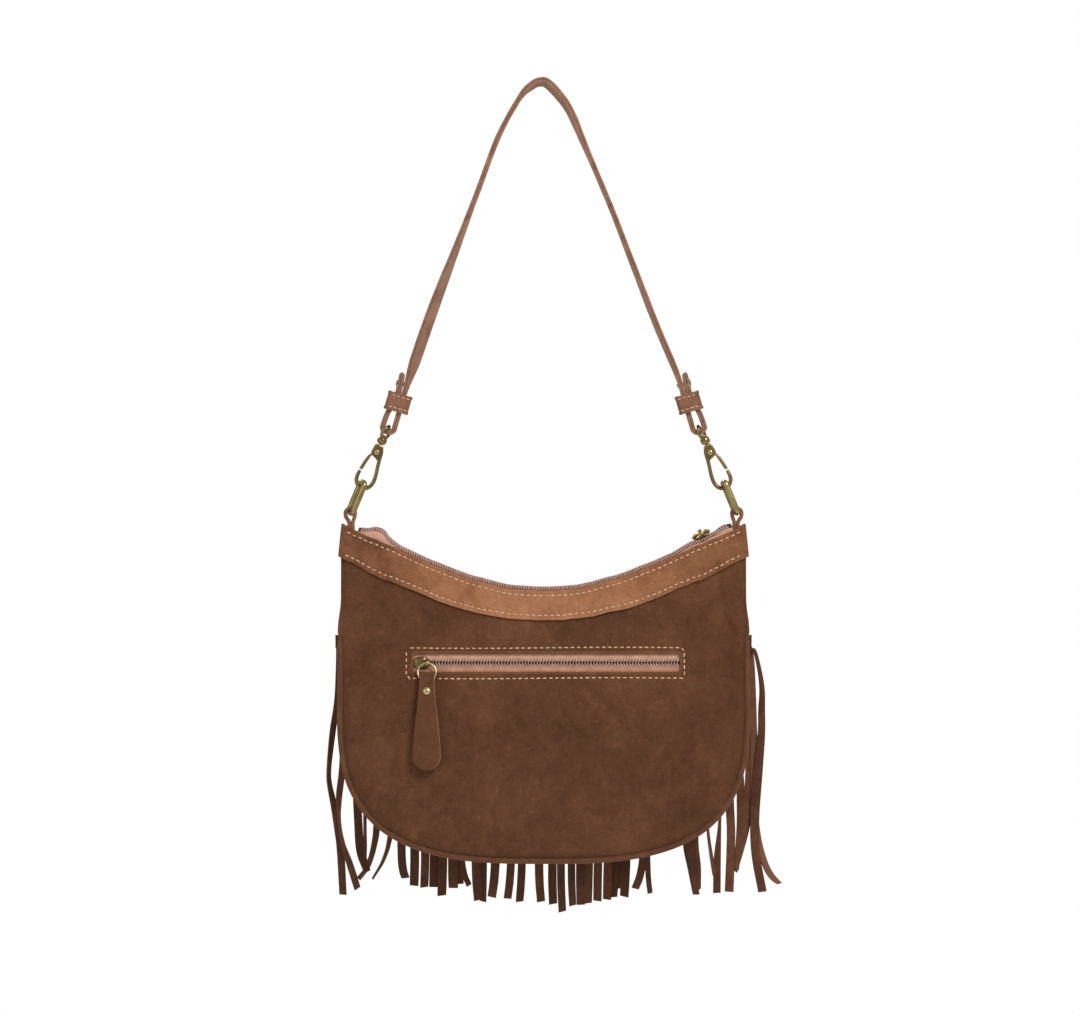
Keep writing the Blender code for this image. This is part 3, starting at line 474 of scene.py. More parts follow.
def half_width(z):
    if z >= CURVE_TOP:
        return HALF_WIDTH
    return HALF_WIDTH * max(1 - ((CURVE_TOP - z) / CURVE_DEPTH) ** 3, 0.0) ** (1 / 3)


def panel_y(x, z):
    """How far the panel's inner face stands from the middle plane."""
    rise = step_up((-300 - z) / 110) * step_up((z - BOTTOM) / 60)
    return half_depth(z) + 3 * rise * (1 - step_up((abs(x) - 95) / 35.3))


# How far the leather pulls away from the drawn arc, as (distance from the middle, rise)
MOUTH_RISE = [(20, 0.0), (44, 1.6), (68, 3.0), (86, 3.1), (96, 2.5), (106, 0.8)]
MOUTH_RISE += [(116, -1.0), (124, -2.3), (131, -2.6)]
BAND_RISE = [(86, 0.0), (95, -1.2), (105, -3.4), (118, -4.4), (131, -5.0)]


def mouth_z(x):
    """Height of the mouth's edge: an arc that runs out straight past its two ends."""
    end = 100.0
    reach = min(abs(x), end)
    slope = end / math.sqrt(MOUTH_RADIUS**2 - end**2)
    rise = between(abs(x), MOUTH_RISE)
    return MOUTH_CENTRE - math.sqrt(MOUTH_RADIUS**2 - reach**2) + slope * (abs(x) - reach) + rise


def band_depth(x):
    return 19 + between(abs(x), MOUTH_RISE) - between(abs(x), BAND_RISE)


def mouth_frame(x):
    """A point of the mouth's edge, the direction along it and the one up from it."""
    here = Vector((x, 0, mouth_z(x)))
    tangent = (Vector((x + 0.1, 0, mouth_z(x + 0.1))) - here).normalized()
    return here, tangent, Vector((-tangent.z, 0, tangent.x))


def edge_distance(x, z):
    """Roughly how far a point lies inside the panel's outline."""
    if z >= CURVE_TOP:
        return HALF_WIDTH - abs(x)
    size = ((abs(x) / HALF_WIDTH) ** 3 + ((CURVE_TOP - z) / CURVE_DEPTH) ** 3) ** (1 / 3)
    return math.hypot(x, CURVE_TOP - z) * (1 / max(size, 0.01) - 1)


def relief(x, z, seed, pocket):
    """Soft swells and hollows of the suede, with a crease along the piping."""
    inside = edge_distance(x, z)
    free = step_up((inside - 1) / 16) * step_up((mouth_z(x) - 17 - z) / 14)
    if pocket:
        away = math.hypot(max(abs(x - 2) - 93, 0), max(abs(z + 375) - 11, 0))
        free *= step_up(away / 12)
    broad = noise.noise(Vector((x / 62, seed, z / 48))) * 1.5
    creases = noise.noise(Vector((x / 24 + z / 60, seed + 5, z / 17))) * 0.42
    fine = noise.noise(Vector((x / 8, seed + 9, z / 8))) * 0.1
    crease = -1.15 * math.exp(-((inside / 1.5) ** 2)) + 0.35 * math.exp(-(((inside - 4.5) / 2.5) ** 2))
    below_pocket = 0.5 * math.exp(-(((z + 392) / 7) ** 2)) * step_up((95 - abs(x)) / 20) if pocket else 0
    return free * (broad + creases + fine) + crease + below_pocket


def steps(*marks):
    """Values that run through (start, count, start, count, ..., end)."""
    found = []
    for k in range(0, len(marks) - 1, 2):
        a, count, b = marks[k : k + 3]
        found += [a + (b - a) * i / count for i in range(count)]
    return found + [marks[-1]]


COLUMNS = steps(-HALF_WIDTH, 30, WINDOW[0], 96, WINDOW[1], 28, HALF_WIDTH)


def flared(x, z):
    """The panel's side stands out a little above the piping, where the sewn layers thicken."""
    out = 1.1 + 1.9 * step_up((-334 - z) / 20)
    out *= 1 - step_up((-356 - z) / 6)
    return x + math.copysign(out * step_up((abs(x) - 112) / 19), x), z


def panel_rows():
    """The panel's grid of (x, z) points, with whole cells over the pocket's window."""
    rows = []
    for share in steps(0.0, 26, 1.0):
        rows.append([flared(x, mouth_z(x) - 2 + (WINDOW[3] - mouth_z(x) + 2) * share) for x in COLUMNS])
    for z in steps(WINDOW[3], 8, WINDOW[2], 12, CURVE_TOP)[1:]:
        rows.append([flared(x, z) for x in COLUMNS])
    for k in range(1, 61):
        z = CURVE_TOP - CURVE_DEPTH * math.sin(math.radians(88.6 * k / 60))
        scale = half_width(z) / HALF_WIDTH
        rows.append([(x * scale, z) for x in COLUMNS])
    return rows


def panel(name, sign, seed, pocket, node):
    rows = panel_rows()
    inner = [[(x, sign * panel_y(x, z), z) for x, z in row] for row in rows]
    outer = [[(x, sign * (panel_y(x, z) + 1.4 + relief(x, z, seed, pocket)), z) for x, z in row] for row in rows]
    skip = [(i, j) for i in range(26, 34) for j in range(30, 126)] if pocket else ()
    return sheet(name, inner, outer, [PANEL, PULL_EDGE], skip, 1, nodes=[node], slot="suede")


panel("back_panel_suede", -1, 3.0, True, "back_panel")
panel("front_panel_suede", 1, 8.0, False, "front_panel")


# ---------------------------------------------------------------- bands
UPPER_ROW = 3.2  # the stitch rows' distances from the band's two edges
LOWER_ROW = 3.1


def band_point(x, share, sign):
    """A point of the band's outer face; `share` runs from its top edge to its lower edge."""
    depth = band_depth(x)
    z = mouth_z(x) - depth * share
    wobble = noise.noise(Vector((x / 17, sign * 4.0, 0))) * 0.8 + noise.noise(Vector((x / 5, sign * 7.0, 0))) * 0.25
    z += wobble * share**3
    widen = 1 + 2.2 / 131 * share * step_up((abs(x) - 118) / 13)
    puff = 0.75 * math.sin(math.pi * share) ** 0.8
    groove = math.exp(-(((depth * share - UPPER_ROW) / 0.9) ** 2))
    groove += math.exp(-(((depth * share - depth + LOWER_ROW) / 0.9) ** 2))
    swell = noise.noise(Vector((x / 30, sign * 11.0, share * 2))) * 0.5
    lift = 3.0 + puff - 0.4 * groove + swell * math.sin(math.pi * share) + 0.35 * abs(wobble) * share**4
    return Vector((x * widen, sign * (panel_y(x, z) + lift), z))


def band(name, sign, node):
    columns = steps(-131.0, 190, 131.0)
    shares = steps(0.0, 4, 0.12, 5, 0.24, 9, 0.78, 5, 0.9, 4, 1.0)
    outer = [[band_point(x, share, sign) for x in columns] for share in shares]
    inner = [[p + Vector((0, -sign * 1.4, 0)) for p in row] for row in outer]
    # Painted light and shade on the band: lighter in the middle, darker towards both ends, and a little lighter
    # towards the lower edge.
    painted_shade_left = -0.36 if sign < 0 else -0.2
    shade = []
    for share in shares:
        row = []
        for x in columns:
            light = 0.5 + 0.2 * math.exp(-((x / 62) ** 2)) + painted_shade_left * step_up((-x - 62) / 60)
            row.append(light - 0.26 * step_up((x - 56) / 60) + 0.06 * share)
        shade.append(row)
    sheet(name, inner, outer, [BAND, BAND_EDGE], (), 1, shade, nodes=[node], slot="band_suede")
    dice = random.Random(31 if sign < 0 else 32)
    heap = Heap()
    along = steps(-128.0, 256, 128.0)
    for row in ([UPPER_ROW / band_depth(x) for x in along], [1 - LOWER_ROW / band_depth(x) for x in along]):
        path = [band_point(x, share, sign) for x, share in zip(along, row)]
        stitches(heap, path, [Y * sign] * len(path), dice=dice)
    heap.add(name + "_stitches", [THREAD], slot="band_suede")


band("back_band_suede", -1, "back_band")
band("front_band_suede", 1, "front_band")


# ---------------------------------------------------------------- piping and gusset
def edge_path(offset, top, count=150):
    """The U outline moved outwards, from the right top to the left top."""
    ring = [(HALF_WIDTH, top + (CURVE_TOP - top) * k / 30) for k in range(30)]
    for k in range(count + 1):
        a = math.pi * k / count
        x = math.copysign(abs(math.cos(a)) ** (2 / 3), math.cos(a)) * HALF_WIDTH
        ring.append((x, CURVE_TOP - CURVE_DEPTH * abs(math.sin(a)) ** (2 / 3)))
    ring += [(-HALF_WIDTH, top + (CURVE_TOP - top) * k / 30) for k in range(29, -1, -1)]
    moved = []
    for k, (x, z) in enumerate(ring):
        a = ring[max(k - 1, 0)]
        b = ring[min(k + 1, len(ring) - 1)]
        away = Vector((-(b[1] - a[1]), b[0] - a[0])).normalized()
        moved.append((x + away.x * offset, z + away.y * offset))
    return moved


def piping(name, sign, node):
    path = []
    for x, z in edge_path(1.45, -357):
        wave = noise.noise(Vector((x / 14, sign * 3.0, z / 14))) * 0.22
        path.append(Vector((x * (1 + wave / 130), sign * (half_depth(z) + 0.45 + wave), z)))
    sizes = [0.35 + 0.65 * step_up((min(k, len(path) - 1 - k) + 1) / 7) for k in range(len(path))]
    points, faces = sweep(path, [circle(1.72 * size, 12) for size in sizes], Y)
    add(name, points, faces, PIPING, nodes=[node], slot="suede")


piping("back_piping_suede", -1, "back_piping")
piping("front_piping_suede", 1, "front_piping")


def gusset():
    outline = edge_path(-0.2, -291)
    normals = edge_path(-1.2, -291)
    inner = []
    outer = []
    for (x, z), (xi, zi) in zip(outline, normals):
        inward = Vector((xi - x, 0, zi - z)).normalized()
        reach = half_depth(z) - 0.4
        row_out = []
        row_in = []
        for v in steps(-1.0, 14, 1.0):
            sag = (1.0 + 0.5 * noise.noise(Vector((x / 15, v * 2, z / 15)))) * (1 - v * v)
            spot = Vector((x, v * reach, z)) + inward * sag
            row_out.append(spot)
            row_in.append(spot + inward * 1.2)
        outer.append(row_out)
        inner.append(row_in)
    sheet("gusset_suede", inner, outer, [GUSSET, PULL_EDGE], (), 1, nodes=["gusset"], slot="suede")


gusset()


# ---------------------------------------------------------------- fringe
STRANDS = 44
PITCH = 272 / STRANDS
SLIT_TOP = -366.0


def fringe_y(x, z):
    """The inner face that the fringe hangs against."""
    return panel_y(min(abs(x), HALF_WIDTH), max(z, BOTTOM + 40)) + 2.6


def strand(heap, knots, shade, slant):
    """A cut strand through (x, z, width, lift, twist in degrees) knots."""
    cup = 0.35
    path = smooth_path([(knot[0], 0, knot[1]) for knot in knots], 6)
    extra = smooth_path([Vector(knot[2:5]) for knot in knots], 6)
    n = len(path)
    points = []
    for k, (spot, (wide, lift, twist)) in enumerate(zip(path, extra)):
        before = path[max(k - 1, 0)]
        after = path[min(k + 1, n - 1)]
        along = (after - before).normalized()
        across = Vector((-along.z, 0, along.x))
        a = math.radians(twist)
        side = across * math.cos(a) + Y * math.sin(a)
        front = Y * math.cos(a) - across * math.sin(a)
        centre = Vector((spot.x, fringe_y(spot.x, spot.z) + 0.6 + lift, spot.z))
        ring = []
        for u in (-1, -0.5, 0, 0.5, 1):
            bend = cup * (u * u - 0.4) * step_up(k / 8)
            down = along * slant * u if k == n - 1 else Vector()
            ring.append((centre + side * u * wide / 2 + front * bend + down, front))
        points += [p + f * 0.55 for p, f in ring]
        points += [p - f * 0.55 for p, f in reversed(ring)]
    faces = []
    picks = []
    for k in range(n - 1):
        for j in range(10):
            i = (j + 1) % 10
            faces.append((10 * k + j, 10 * k + i, 10 * k + 10 + i, 10 * k + 10 + j))
            picks.append(1 if j in (4, 9) else 0)
    faces += [tuple(range(10)), tuple(range(10 * n - 10, 10 * n))]
    picks += [1, 1]
    heap.put(points, faces, picks, shade)


# Strands under the bag, each as (x where it clears the piping, x of its tip, width, z of its tip, behind)
MIDDLE_STRANDS = [
    (-93.2, -90.6, 4.9, -517.0, 0), (-84.6, -85.0, 5.3, -522.0, 0), (-77.7, -78.3, 5.0, -523.0, 0),
    (-71.9, -72.3, 5.2, -523.0, 1), (-66.2, -66.8, 5.4, -528.5, 0), (-59.6, -59.2, 5.8, -523.5, 0),
    (-53.8, -48.8, 3.4, -522.0, 0), (-55.6, -55.2, 5.2, -521.0, 1), (-44.4, -42.8, 5.4, -531.5, 0),
    (-39.4, -39.8, 4.2, -532.5, 1), (-31.5, -34.0, 5.3, -529.5, 0), (-21.3, -23.6, 4.8, -530.5, 0),
    (-14.2, -15.7, 4.8, -532.5, 0), (-3.2, -1.6, 5.1, -532.5, 0), (5.6, 6.3, 5.1, -534.0, 0),
    (11.2, 12.4, 4.7, -539.0, 0), (18.1, 19.2, 4.5, -535.0, 0), (24.0, 24.5, 5.2, -534.5, 0),
    (29.6, 29.1, 5.1, -533.5, 0), (35.6, 35.4, 5.1, -532.0, 0), (42.1, 41.7, 5.1, -531.0, 0),
    (46.9, 45.4, 5.6, -529.7, 1), (54.0, 53.0, 5.3, -529.2, 0), (49.8, 49.4, 4.0, -524.0, 1),
    (65.3, 60.2, 4.6, -524.0, 0), (68.2, 70.0, 3.2, -527.0, 0), (66.6, 65.8, 4.4, -493.0, 1),
    (71.0, 69.4, 4.4, -491.0, 1), (83.5, 86.5, 5.0, -490.0, 1), (89.0, 90.5, 4.8, -491.0, 1),
]
# Strands at the sides, each as (x, z, width, lift, twist) from below the yoke to the tip
SIDE_STRANDS = {
    0: [(-135.0, -400, 3.9, 1.0, 10), (-138.2, -422, 4.0, 1.6, 20), (-140.6, -445, 3.2, 2.0, 38),
        (-140.4, -456, 3.4, 2.4, 36), (-137.6, -470, 4.2, 2.4, 20), (-135.2, -485, 4.6, 2.4, 10),
        (-133.2, -500, 5.0, 2.2, 0), (-131.6, -529, 4.8, 1.6, 0)],
    1: [(-130.8, -400, 5.0, 0.3, 0), (-130.9, -420, 4.6, 0.2, -10), (-131.9, -445, 4.4, 0.0, -20),
        (-134.2, -465, 4.2, -0.6, -30), (-134.0, -480, 2.6, -0.8, -60), (-131.8, -495, 3.4, -0.6, -45),
        (-127.4, -508, 4.4, -0.2, -25), (-122.0, -525, 4.4, 0.3, 0)],
    2: [(-123.5, -400, 5.3, 0.1, 0), (-122.4, -456, 5.8, 0.4, 0), (-121.6, -480, 5.4, 0.6, 0),
        (-120.0, -500, 5.8, 0.8, 6), (-115.6, -514, 4.6, 1.4, 20)],
    3: [(-116.5, -400, 5.3, 1.0, 0), (-116.4, -455, 3.4, 1.4, 55), (-117.0, -480, 2.8, 1.6, 62),
        (-116.8, -497, 2.6, 1.6, 60), (-117.4, -508, 2.6, 1.6, 50)],
    4: [(-110.5, -400, 5.3, 0.2, 0), (-108.8, -464, 5.0, 0.4, 8), (-109.6, -486, 4.4, 1.0, 20),
        (-111.0, -496, 4.0, 1.6, 30), (-113.2, -505, 3.8, 2.2, 40), (-116.0, -512, 3.6, 2.8, 46),
        (-121.4, -519, 3.2, 3.6, 40)],
    5: [(-103.0, -400, 5.3, 0.4, 0), (-99.2, -470, 4.4, 0.9, 20), (-101.0, -493, 3.6, 1.8, 45),
        (-105.2, -507, 2.6, 2.6, 55), (-112.2, -519, 1.0, 3.2, 60)],
    36: [(90.8, -400, 5.3, 0.2, 0), (93.0, -460, 5.6, 0.2, 0), (94.4, -494, 6.2, 0.2, 0),
         (97.2, -511, 5.6, 0.2, 0), (100.2, -529, 4.4, 0.2, 0)],
    37: [(97.5, -400, 5.3, 1.2, 0), (99.2, -460, 5.0, 1.6, 0), (99.6, -494, 4.4, 1.7, 0),
         (101.4, -511, 4.0, 1.7, 0), (102.0, -526, 2.8, 1.7, 0)],
    38: [(103.6, -400, 5.3, 0.1, 0), (106.6, -460, 3.2, 0.2, 62), (107.8, -484, 2.6, 0.6, 66),
         (110.2, -503, 3.0, 0.6, 58), (112.6, -516, 3.4, 0.6, 40)],
    39: [(110.2, -400, 5.3, 0.7, 0), (115.8, -460, 3.0, 1.2, 62), (115.8, -482, 2.8, 1.6, 62),
         (114.2, -505, 4.6, 1.8, 20), (113.8, -528, 5.0, 1.8, 0)],
    40: [(116.2, -400, 5.4, 0.2, 0), (121.2, -452, 5.5, 0.2, 0), (122.4, -474, 5.6, 0.2, 0),
         (123.0, -492, 5.6, 0.2, 0), (121.8, -527, 5.8, 0.2, 0)],
    41: [(122.6, -400, 5.4, 0.4, 0), (128.6, -452, 5.6, 0.2, 0), (129.4, -470, 5.4, -0.2, 0),
         (128.8, -488, 4.6, -0.2, 10), (126.6, -512, 3.6, 0.0, 30)],
    42: [(130.6, -400, 4.4, 0.8, 10), (134.6, -436, 4.4, 1.4, 20), (134.9, -460, 5.8, 1.8, 20),
         (134.0, -478, 5.0, 2.2, 30), (132.6, -488, 5.2, 2.6, 40), (129.6, -500, 5.0, 3.0, 44),
         (126.0, -514, 3.0, 3.2, 40)],
    43: [(137.6, -368, 3.4, 0.6, 52), (141.2, -380, 3.2, 0.8, 50), (143.2, -394, 3.8, 0.8, 36),
         (143.0, -408, 4.6, 0.6, 24), (142.9, -423, 4.9, 0.4, 14), (140.8, -446, 6.2, 0.2, 0),
         (138.6, -478, 6.0, 0.2, 0), (139.2, -502, 5.7, 0.2, 0), (143.6, -527, 5.6, 0.2, 0)],
}


def fringe():
    """The cut fringe: its strands, the uncut yoke that they hang from, and the seam along the yoke."""
    dice = random.Random(12)
    heap = Heap()
    for k in range(STRANDS):
        x = -136 + PITCH * (k + 0.5)
        head = [(x, -363.5, PITCH - 0.5, 0, 0), (x, SLIT_TOP - 6, 5.5, 0, 0)]
        shade = 0.5 + dice.uniform(-0.14, 0.14)
        if k in SIDE_STRANDS:
            strand(heap, head + SIDE_STRANDS[k], shade, dice.uniform(-1.0, 1.0))
            continue
        mid, tip, wide, end, back = MIDDLE_STRANDS[k - 6]
        wide *= 1.1
        end -= 1.2
        hip = -500.0 if end < -506 else (end - 462) / 2
        lift = 1.5 if back else dice.uniform(0.0, 0.7)
        twist = dice.uniform(-6, 6)
        knots = [((x * 2 + mid) / 3, -410, 5.4, lift * 0.5, 0)]
        knots += [((x + mid * 5) / 6, -462, wide, lift, twist * 0.4)]
        knots += [(mid, hip, wide, lift, twist), ((mid * 2 + tip) / 3, (end + hip) / 2 - 3, wide, lift, twist)]
        knots += [(tip, end, wide * 0.97, lift + abs(tip - mid) * 0.15, twist)]
        # Strands that hang behind the others are darker: painted shade.
        strand(heap, head + knots, shade - (0.12 if back else 0.0), dice.uniform(-0.55, 0.55))
    spur = [(136.0, -380, 4.6, 1.3, 0), (138.0, -430, 4.6, 1.5, 10), (138.4, -470, 4.6, 1.7, 20)]
    spur += [(141.0, -493, 4.6, 2.2, 28), (145.6, -509, 4.6, 3.0, 34), (150.0, -517, 4.2, 3.6, 30)]
    spur += [(155.2, -522, 2.6, 4.0, 20)]
    # The spur strand is much lighter than the rest: painted light on its lit side.
    strand(heap, [(133.5, -363.5, 4.4, 0.2, 0), *spur], 0.95, 0.8)
    columns = steps(-136.0, 88, 136.0)
    rows = steps(-358.0, 6, -366.5)
    top = []
    low = []
    for z in rows:
        near = [fringe_y(x, z) for x in columns]
        wave = [0.08 * noise.noise(Vector((x / 9, 2.0, z / 9))) for x in columns]
        low.append([Vector((x, y, z)) for x, y in zip(columns, near)])
        top.append([Vector((x, y + 1.12 + w, z)) for x, y, w in zip(columns, near, wave)])
    first = len(heap.points)
    count = len(columns)
    heap.points += [p for row in low for p in row] + [p for row in top for p in row]
    # The yoke is lighter than the strands' middle tone: painted light on its lit edge.
    heap.shade += [0.72] * (2 * count * len(rows))
    layer = count * len(rows)
    for i in range(len(rows) - 1):
        for j in range(count - 1):
            a = first + i * count + j
            heap.faces += [(a, a + 1, a + count + 1, a + count)]
            heap.faces += [(a + layer, a + layer + count, a + layer + count + 1, a + layer + 1)]
            heap.picks += [0, 0]
    last = first + (len(rows) - 1) * count
    for j in range(count - 1):
        heap.faces += [(first + j, first + layer + j, first + layer + j + 1, first + j + 1)]
        heap.faces += [(last + j, last + j + 1, last + layer + j + 1, last + layer + j)]
        heap.picks += [1, 1]
    for i in range(len(rows) - 1):
        for j in (0, count - 1):
            a = first + i * count + j
            heap.faces += [(a, a + count, a + count + layer, a + layer)]
            heap.picks += [1]
    made = heap.add("fringe_strands", [FRINGE, FRINGE_EDGE], nodes=["fringe"], slot="fringe_suede")
    seam = Heap()
    path = [Vector((x, fringe_y(x, -360.8) + 1.05, -360.8)) for x in steps(-134.0, 200, 134.0)]
    stitches(seam, path, [Y] * len(path), radius=0.3, dice=dice)
    stitched = seam.add("fringe_stitches", [THREAD], slot="fringe_suede")
    return made, stitched


fringe_piece, fringe_seam = fringe()


# ---------------------------------------------------------------- pocket zip
def pocket_y(z, inset):
    return -(half_depth(z) + 3 * step_up((-300 - z) / 110) - inset)


CHAIN_Y = pocket_y(-375, 0.6)


def coil(name, path, side, radius, turns_per_mm, flip, node, flat=1.0):
    """A wound nylon coil along a path, squashed a little against its tape."""
    total = measured(path)
    centre = []
    steps_per_turn = 9
    count = int(total[-1] * turns_per_mm * steps_per_turn)
    k = 0
    for step in range(count + 1):
        at = total[-1] * step / count
        while k < len(path) - 2 and total[k + 1] < at:
            k += 1
        share = (at - total[k]) / (total[k + 1] - total[k])
        spot = path[k].lerp(path[k + 1], share)
        along = (path[k + 1] - path[k]).normalized()
        up = side.cross(along).normalized()
        a = 2 * math.pi * step / steps_per_turn * flip
        centre.append(spot + side * radius * math.cos(a) + up * radius * flat * math.sin(a))
    points, faces = sweep(centre, circle(0.5, 6), side)
    add(name, points, faces, COIL, nodes=[node], slot="zip_coil", angle=60)


def pocket_zip():
    for level, sign in (("upper", 1), ("lower", -1)):
        z = -375 + sign * 1.5
        path = [Vector((x, CHAIN_Y - 0.35, z)) for x in steps(-84.0, 40, 88.0)]
        coil("pocket_coil_%s_wound" % level, path, Z * sign, 1.02, 0.52, sign, "pocket_coil_" + level, 0.95)
        low, high = (-371.6, -365) if sign > 0 else (-385, -378.4)
        inner = []
        outer = []
        for share in steps(0.0, 8, 1.0):
            level_z = high + (low - high) * share
            near_coil = share if sign > 0 else 1 - share
            row_in = []
            row_out = []
            for x in steps(-92.0, 92, 96.0):
                edge_z = level_z - sign * 1.9 * near_coil
                roll = 0.5 * math.exp(-(((near_coil - 0.55) / 0.2) ** 2))
                y = pocket_y(level_z, 0.35) - roll * 0.6 + 0.12 * noise.noise(Vector((x / 7, level_z, sign)))
                row_out.append(Vector((x, y, edge_z)))
                row_in.append(Vector((x, y + 0.45, edge_z)))
            inner.append(row_in)
            outer.append(row_out)
        # The upper strip takes the lighter copy of the tape: painted light.
        cloth = PAINTED_LIGHT_TAPE if sign > 0 else TAPE
        node = "pocket_tape_" + level
        sheet(node + "_cloth", inner, outer, [cloth], nodes=[node], slot="zip_tape")


def window_edge():
    """The turned edge of the suede around the pocket's window, in a lighter suede as a painted highlight."""
    left, right, low, high = WINDOW
    ring = []
    bend = 2.0
    for x, z, start in ((right, high, 0), (left, high, 90), (left, low, 180), (right, low, 270)):
        cx = x - bend if x == right else x + bend
        cz = z - bend if z == high else z + bend
        for degrees in range(start, start + 91, 15):
            a = math.radians(degrees)
            ring.append((cx + bend * math.cos(a), cz + bend * math.sin(a)))
    dense = []
    for (xa, za), (xb, zb) in zip(ring, ring[1:] + ring[:1]):
        parts = max(int(math.hypot(xb - xa, zb - za) / 3), 1)
        dense += [(xa + (xb - xa) * k / parts, za + (zb - za) * k / parts) for k in range(parts)]
    path = [Vector((x, pocket_y(z, 0) - 0.75 + 0.12 * noise.noise(Vector((x / 9, z, 1.0))), z)) for x, z in dense]
    points, faces = sweep(path, rounded(1.0, 0.95, 0.6, 3), Y, closed=True)
    add("pocket_window_edge", points, faces, HIGHLIT_WINDOW_EDGE, slot="suede")


def pocket_stitching():
    """The row of stitches around the window, with cut corners."""
    dice = random.Random(5)
    heap = Heap()
    x0, x1, z0, z1 = -88.7, 91.0, -384.8, -365.3
    corners = [(x0 + 2, z1), (x1 - 2, z1), (x1, z1 - 2), (x1, z0 + 2)]
    corners += [(x1 - 2, z0), (x0 + 2, z0), (x0, z0 + 2), (x0, z1 - 2)]
    path = []
    for a in range(8):
        b = (a + 1) % 8
        (xa, za), (xb, zb) = corners[a], corners[b]
        parts = max(int(math.hypot(xb - xa, zb - za)), 2)
        for k in range(parts + (b == 0)):
            x = xa + (xb - xa) * k / parts
            z = za + (zb - za) * k / parts + (0.35 * math.sin(x / 30) if a in (0, 4) else 0)
            path.append(Vector((x, -(panel_y(x, z) + 1.32 + relief(x, z, 3.0, True)), z)))
    stitches(heap, path, [-Y] * len(path), start=0.3, dice=dice)
    heap.add("pocket_stitches", [THREAD], slot="suede")


# Lighter than the panel's suede: a painted highlight along the window's rim, where it catches the light.
HIGHLIT_WINDOW_EDGE = suede("window_edge_highlight_suede", tone(84, 52, 36), tone(114, 76, 54), tone(144, 100, 76), 60.0, 0.8, 0.3)
pocket_zip()
window_edge()
pocket_stitching()


# ---------------------------------------------------------------- mouth zip
def chain_lift(x):
    """Height of the zip's chain above the band's edge; it springs up at its two ends."""
    left = 5.4 * math.exp(-(((x + 109) / 8.5) ** 2))
    right = 1.6 * math.exp(-(((x - 119) / 6) ** 2))
    return 0.8 + 1.1 * step_up((x - 84) / 12) + left + right - 0.6 * step_up((-x - 112) / 10)


def mouth_zip():
    columns = steps(-121.0, 150, 124.0)
    for place, sign in (("back", -1), ("front", 1)):
        inner = []
        outer = []
        for share in steps(0.0, 9, 1.0):
            row_out = []
            row_in = []
            for x in columns:
                here, _, normal = mouth_frame(x)
                lift = chain_lift(x)
                crown = lift - 1.15 if sign < 0 else lift + 1.6
                fall = max(share - 0.3, 0) / 0.7
                up = crown + 0.25 * math.sin(share * 3) * (1 - fall) - (crown + 7.5) * fall
                puff = 0.9 * math.sin(math.pi * fall) * (lift / 7.0)
                y = 2.0 + 2.5 * step_up(share / 0.4) + puff
                ripple = 0.18 * noise.noise(Vector((x / 5, share * 2, sign)))
                spot = here + normal * (up + ripple) + Y * sign * y
                row_out.append(spot)
                row_in.append(spot - Y * sign * 0.42 - normal * 0.1)
            outer.append(row_out)
            inner.append(row_in)
        node = "mouth_tape_" + place
        sheet(node + "_cloth", inner, outer, [MOUTH_TAPE], nodes=[node], slot="zip_tape")
        path = []
        for x in steps(-119.0, 160, 121.0):
            here, _, normal = mouth_frame(x)
            part = 0.9 * step_up((x - 107) / 8)
            path.append(here + normal * (chain_lift(x) + (0.35 if sign > 0 else 0)) + Y * sign * (1.5 + part))
        coil("mouth_coil_%s_wound" % place, path, Y * sign, 0.9, 0.6, sign, "mouth_coil_" + place)


mouth_zip()


# ---------------------------------------------------------------- sliders, rings and pulls
def slider(name, centre, along, cross, out, body, node, bail_shift=0.0):
    """A zip slider with a domed crown over its bail."""
    heap = Heap()
    for sign in (1, -1):
        rows = 12
        points = []
        count = 28
        for r in range(rows + 1):
            share = r / rows
            size = math.sqrt(max(1 - share**2.2, 0.0)) if r else 1.0
            rise = (1.9 if sign > 0 else 0.9) * share
            for k in range(count):
                a = 2 * math.pi * k / count
                ca = math.cos(a)
                sa = math.sin(a)
                u = math.copysign(abs(ca) ** 0.7, ca) * 4.8
                v = math.copysign(abs(sa) ** 0.7, sa) * (4.1 + 0.5 * ca)
                size_here = 0.06 + 0.94 * size
                points.append(centre + along * u * size_here + cross * v * size_here + out * sign * (1.45 + rise))
        heap.put(points, tube_faces(count, rows + 1))
    path = []
    for k in range(17):
        a = math.pi * k / 16
        path.append(centre + along * bail_shift + out * (1.75 + 4.4 * math.sin(a)) + cross * 2.3 * math.cos(a))
    points, faces = sweep(path, rounded(1.15, 0.5, 0.35, 2), along)
    heap.put(points, faces)
    heap.add(name, [BRASS], body=body, nodes=[node], slot="antique_brass")
    return centre + along * bail_shift + out * (2.35 + 1.9)


RING_RADIUS = 5.9


def pull_ring(name, hole, toward, along, body, node):
    """A round wire ring from the bail's hole to where the pull hangs."""
    centre = hole + toward * RING_RADIUS
    path = []
    for k in range(56):
        a = 2 * math.pi * k / 56
        path.append(centre + toward * RING_RADIUS * math.cos(a) + along * RING_RADIUS * math.sin(a))
    points, faces = sweep(path, circle(0.7, 12), toward.cross(along).normalized(), closed=True)
    add(name, points, faces, PALE_BRASS, body=body, nodes=[node], slot="antique_brass")
    return hole + toward * 2 * RING_RADIUS


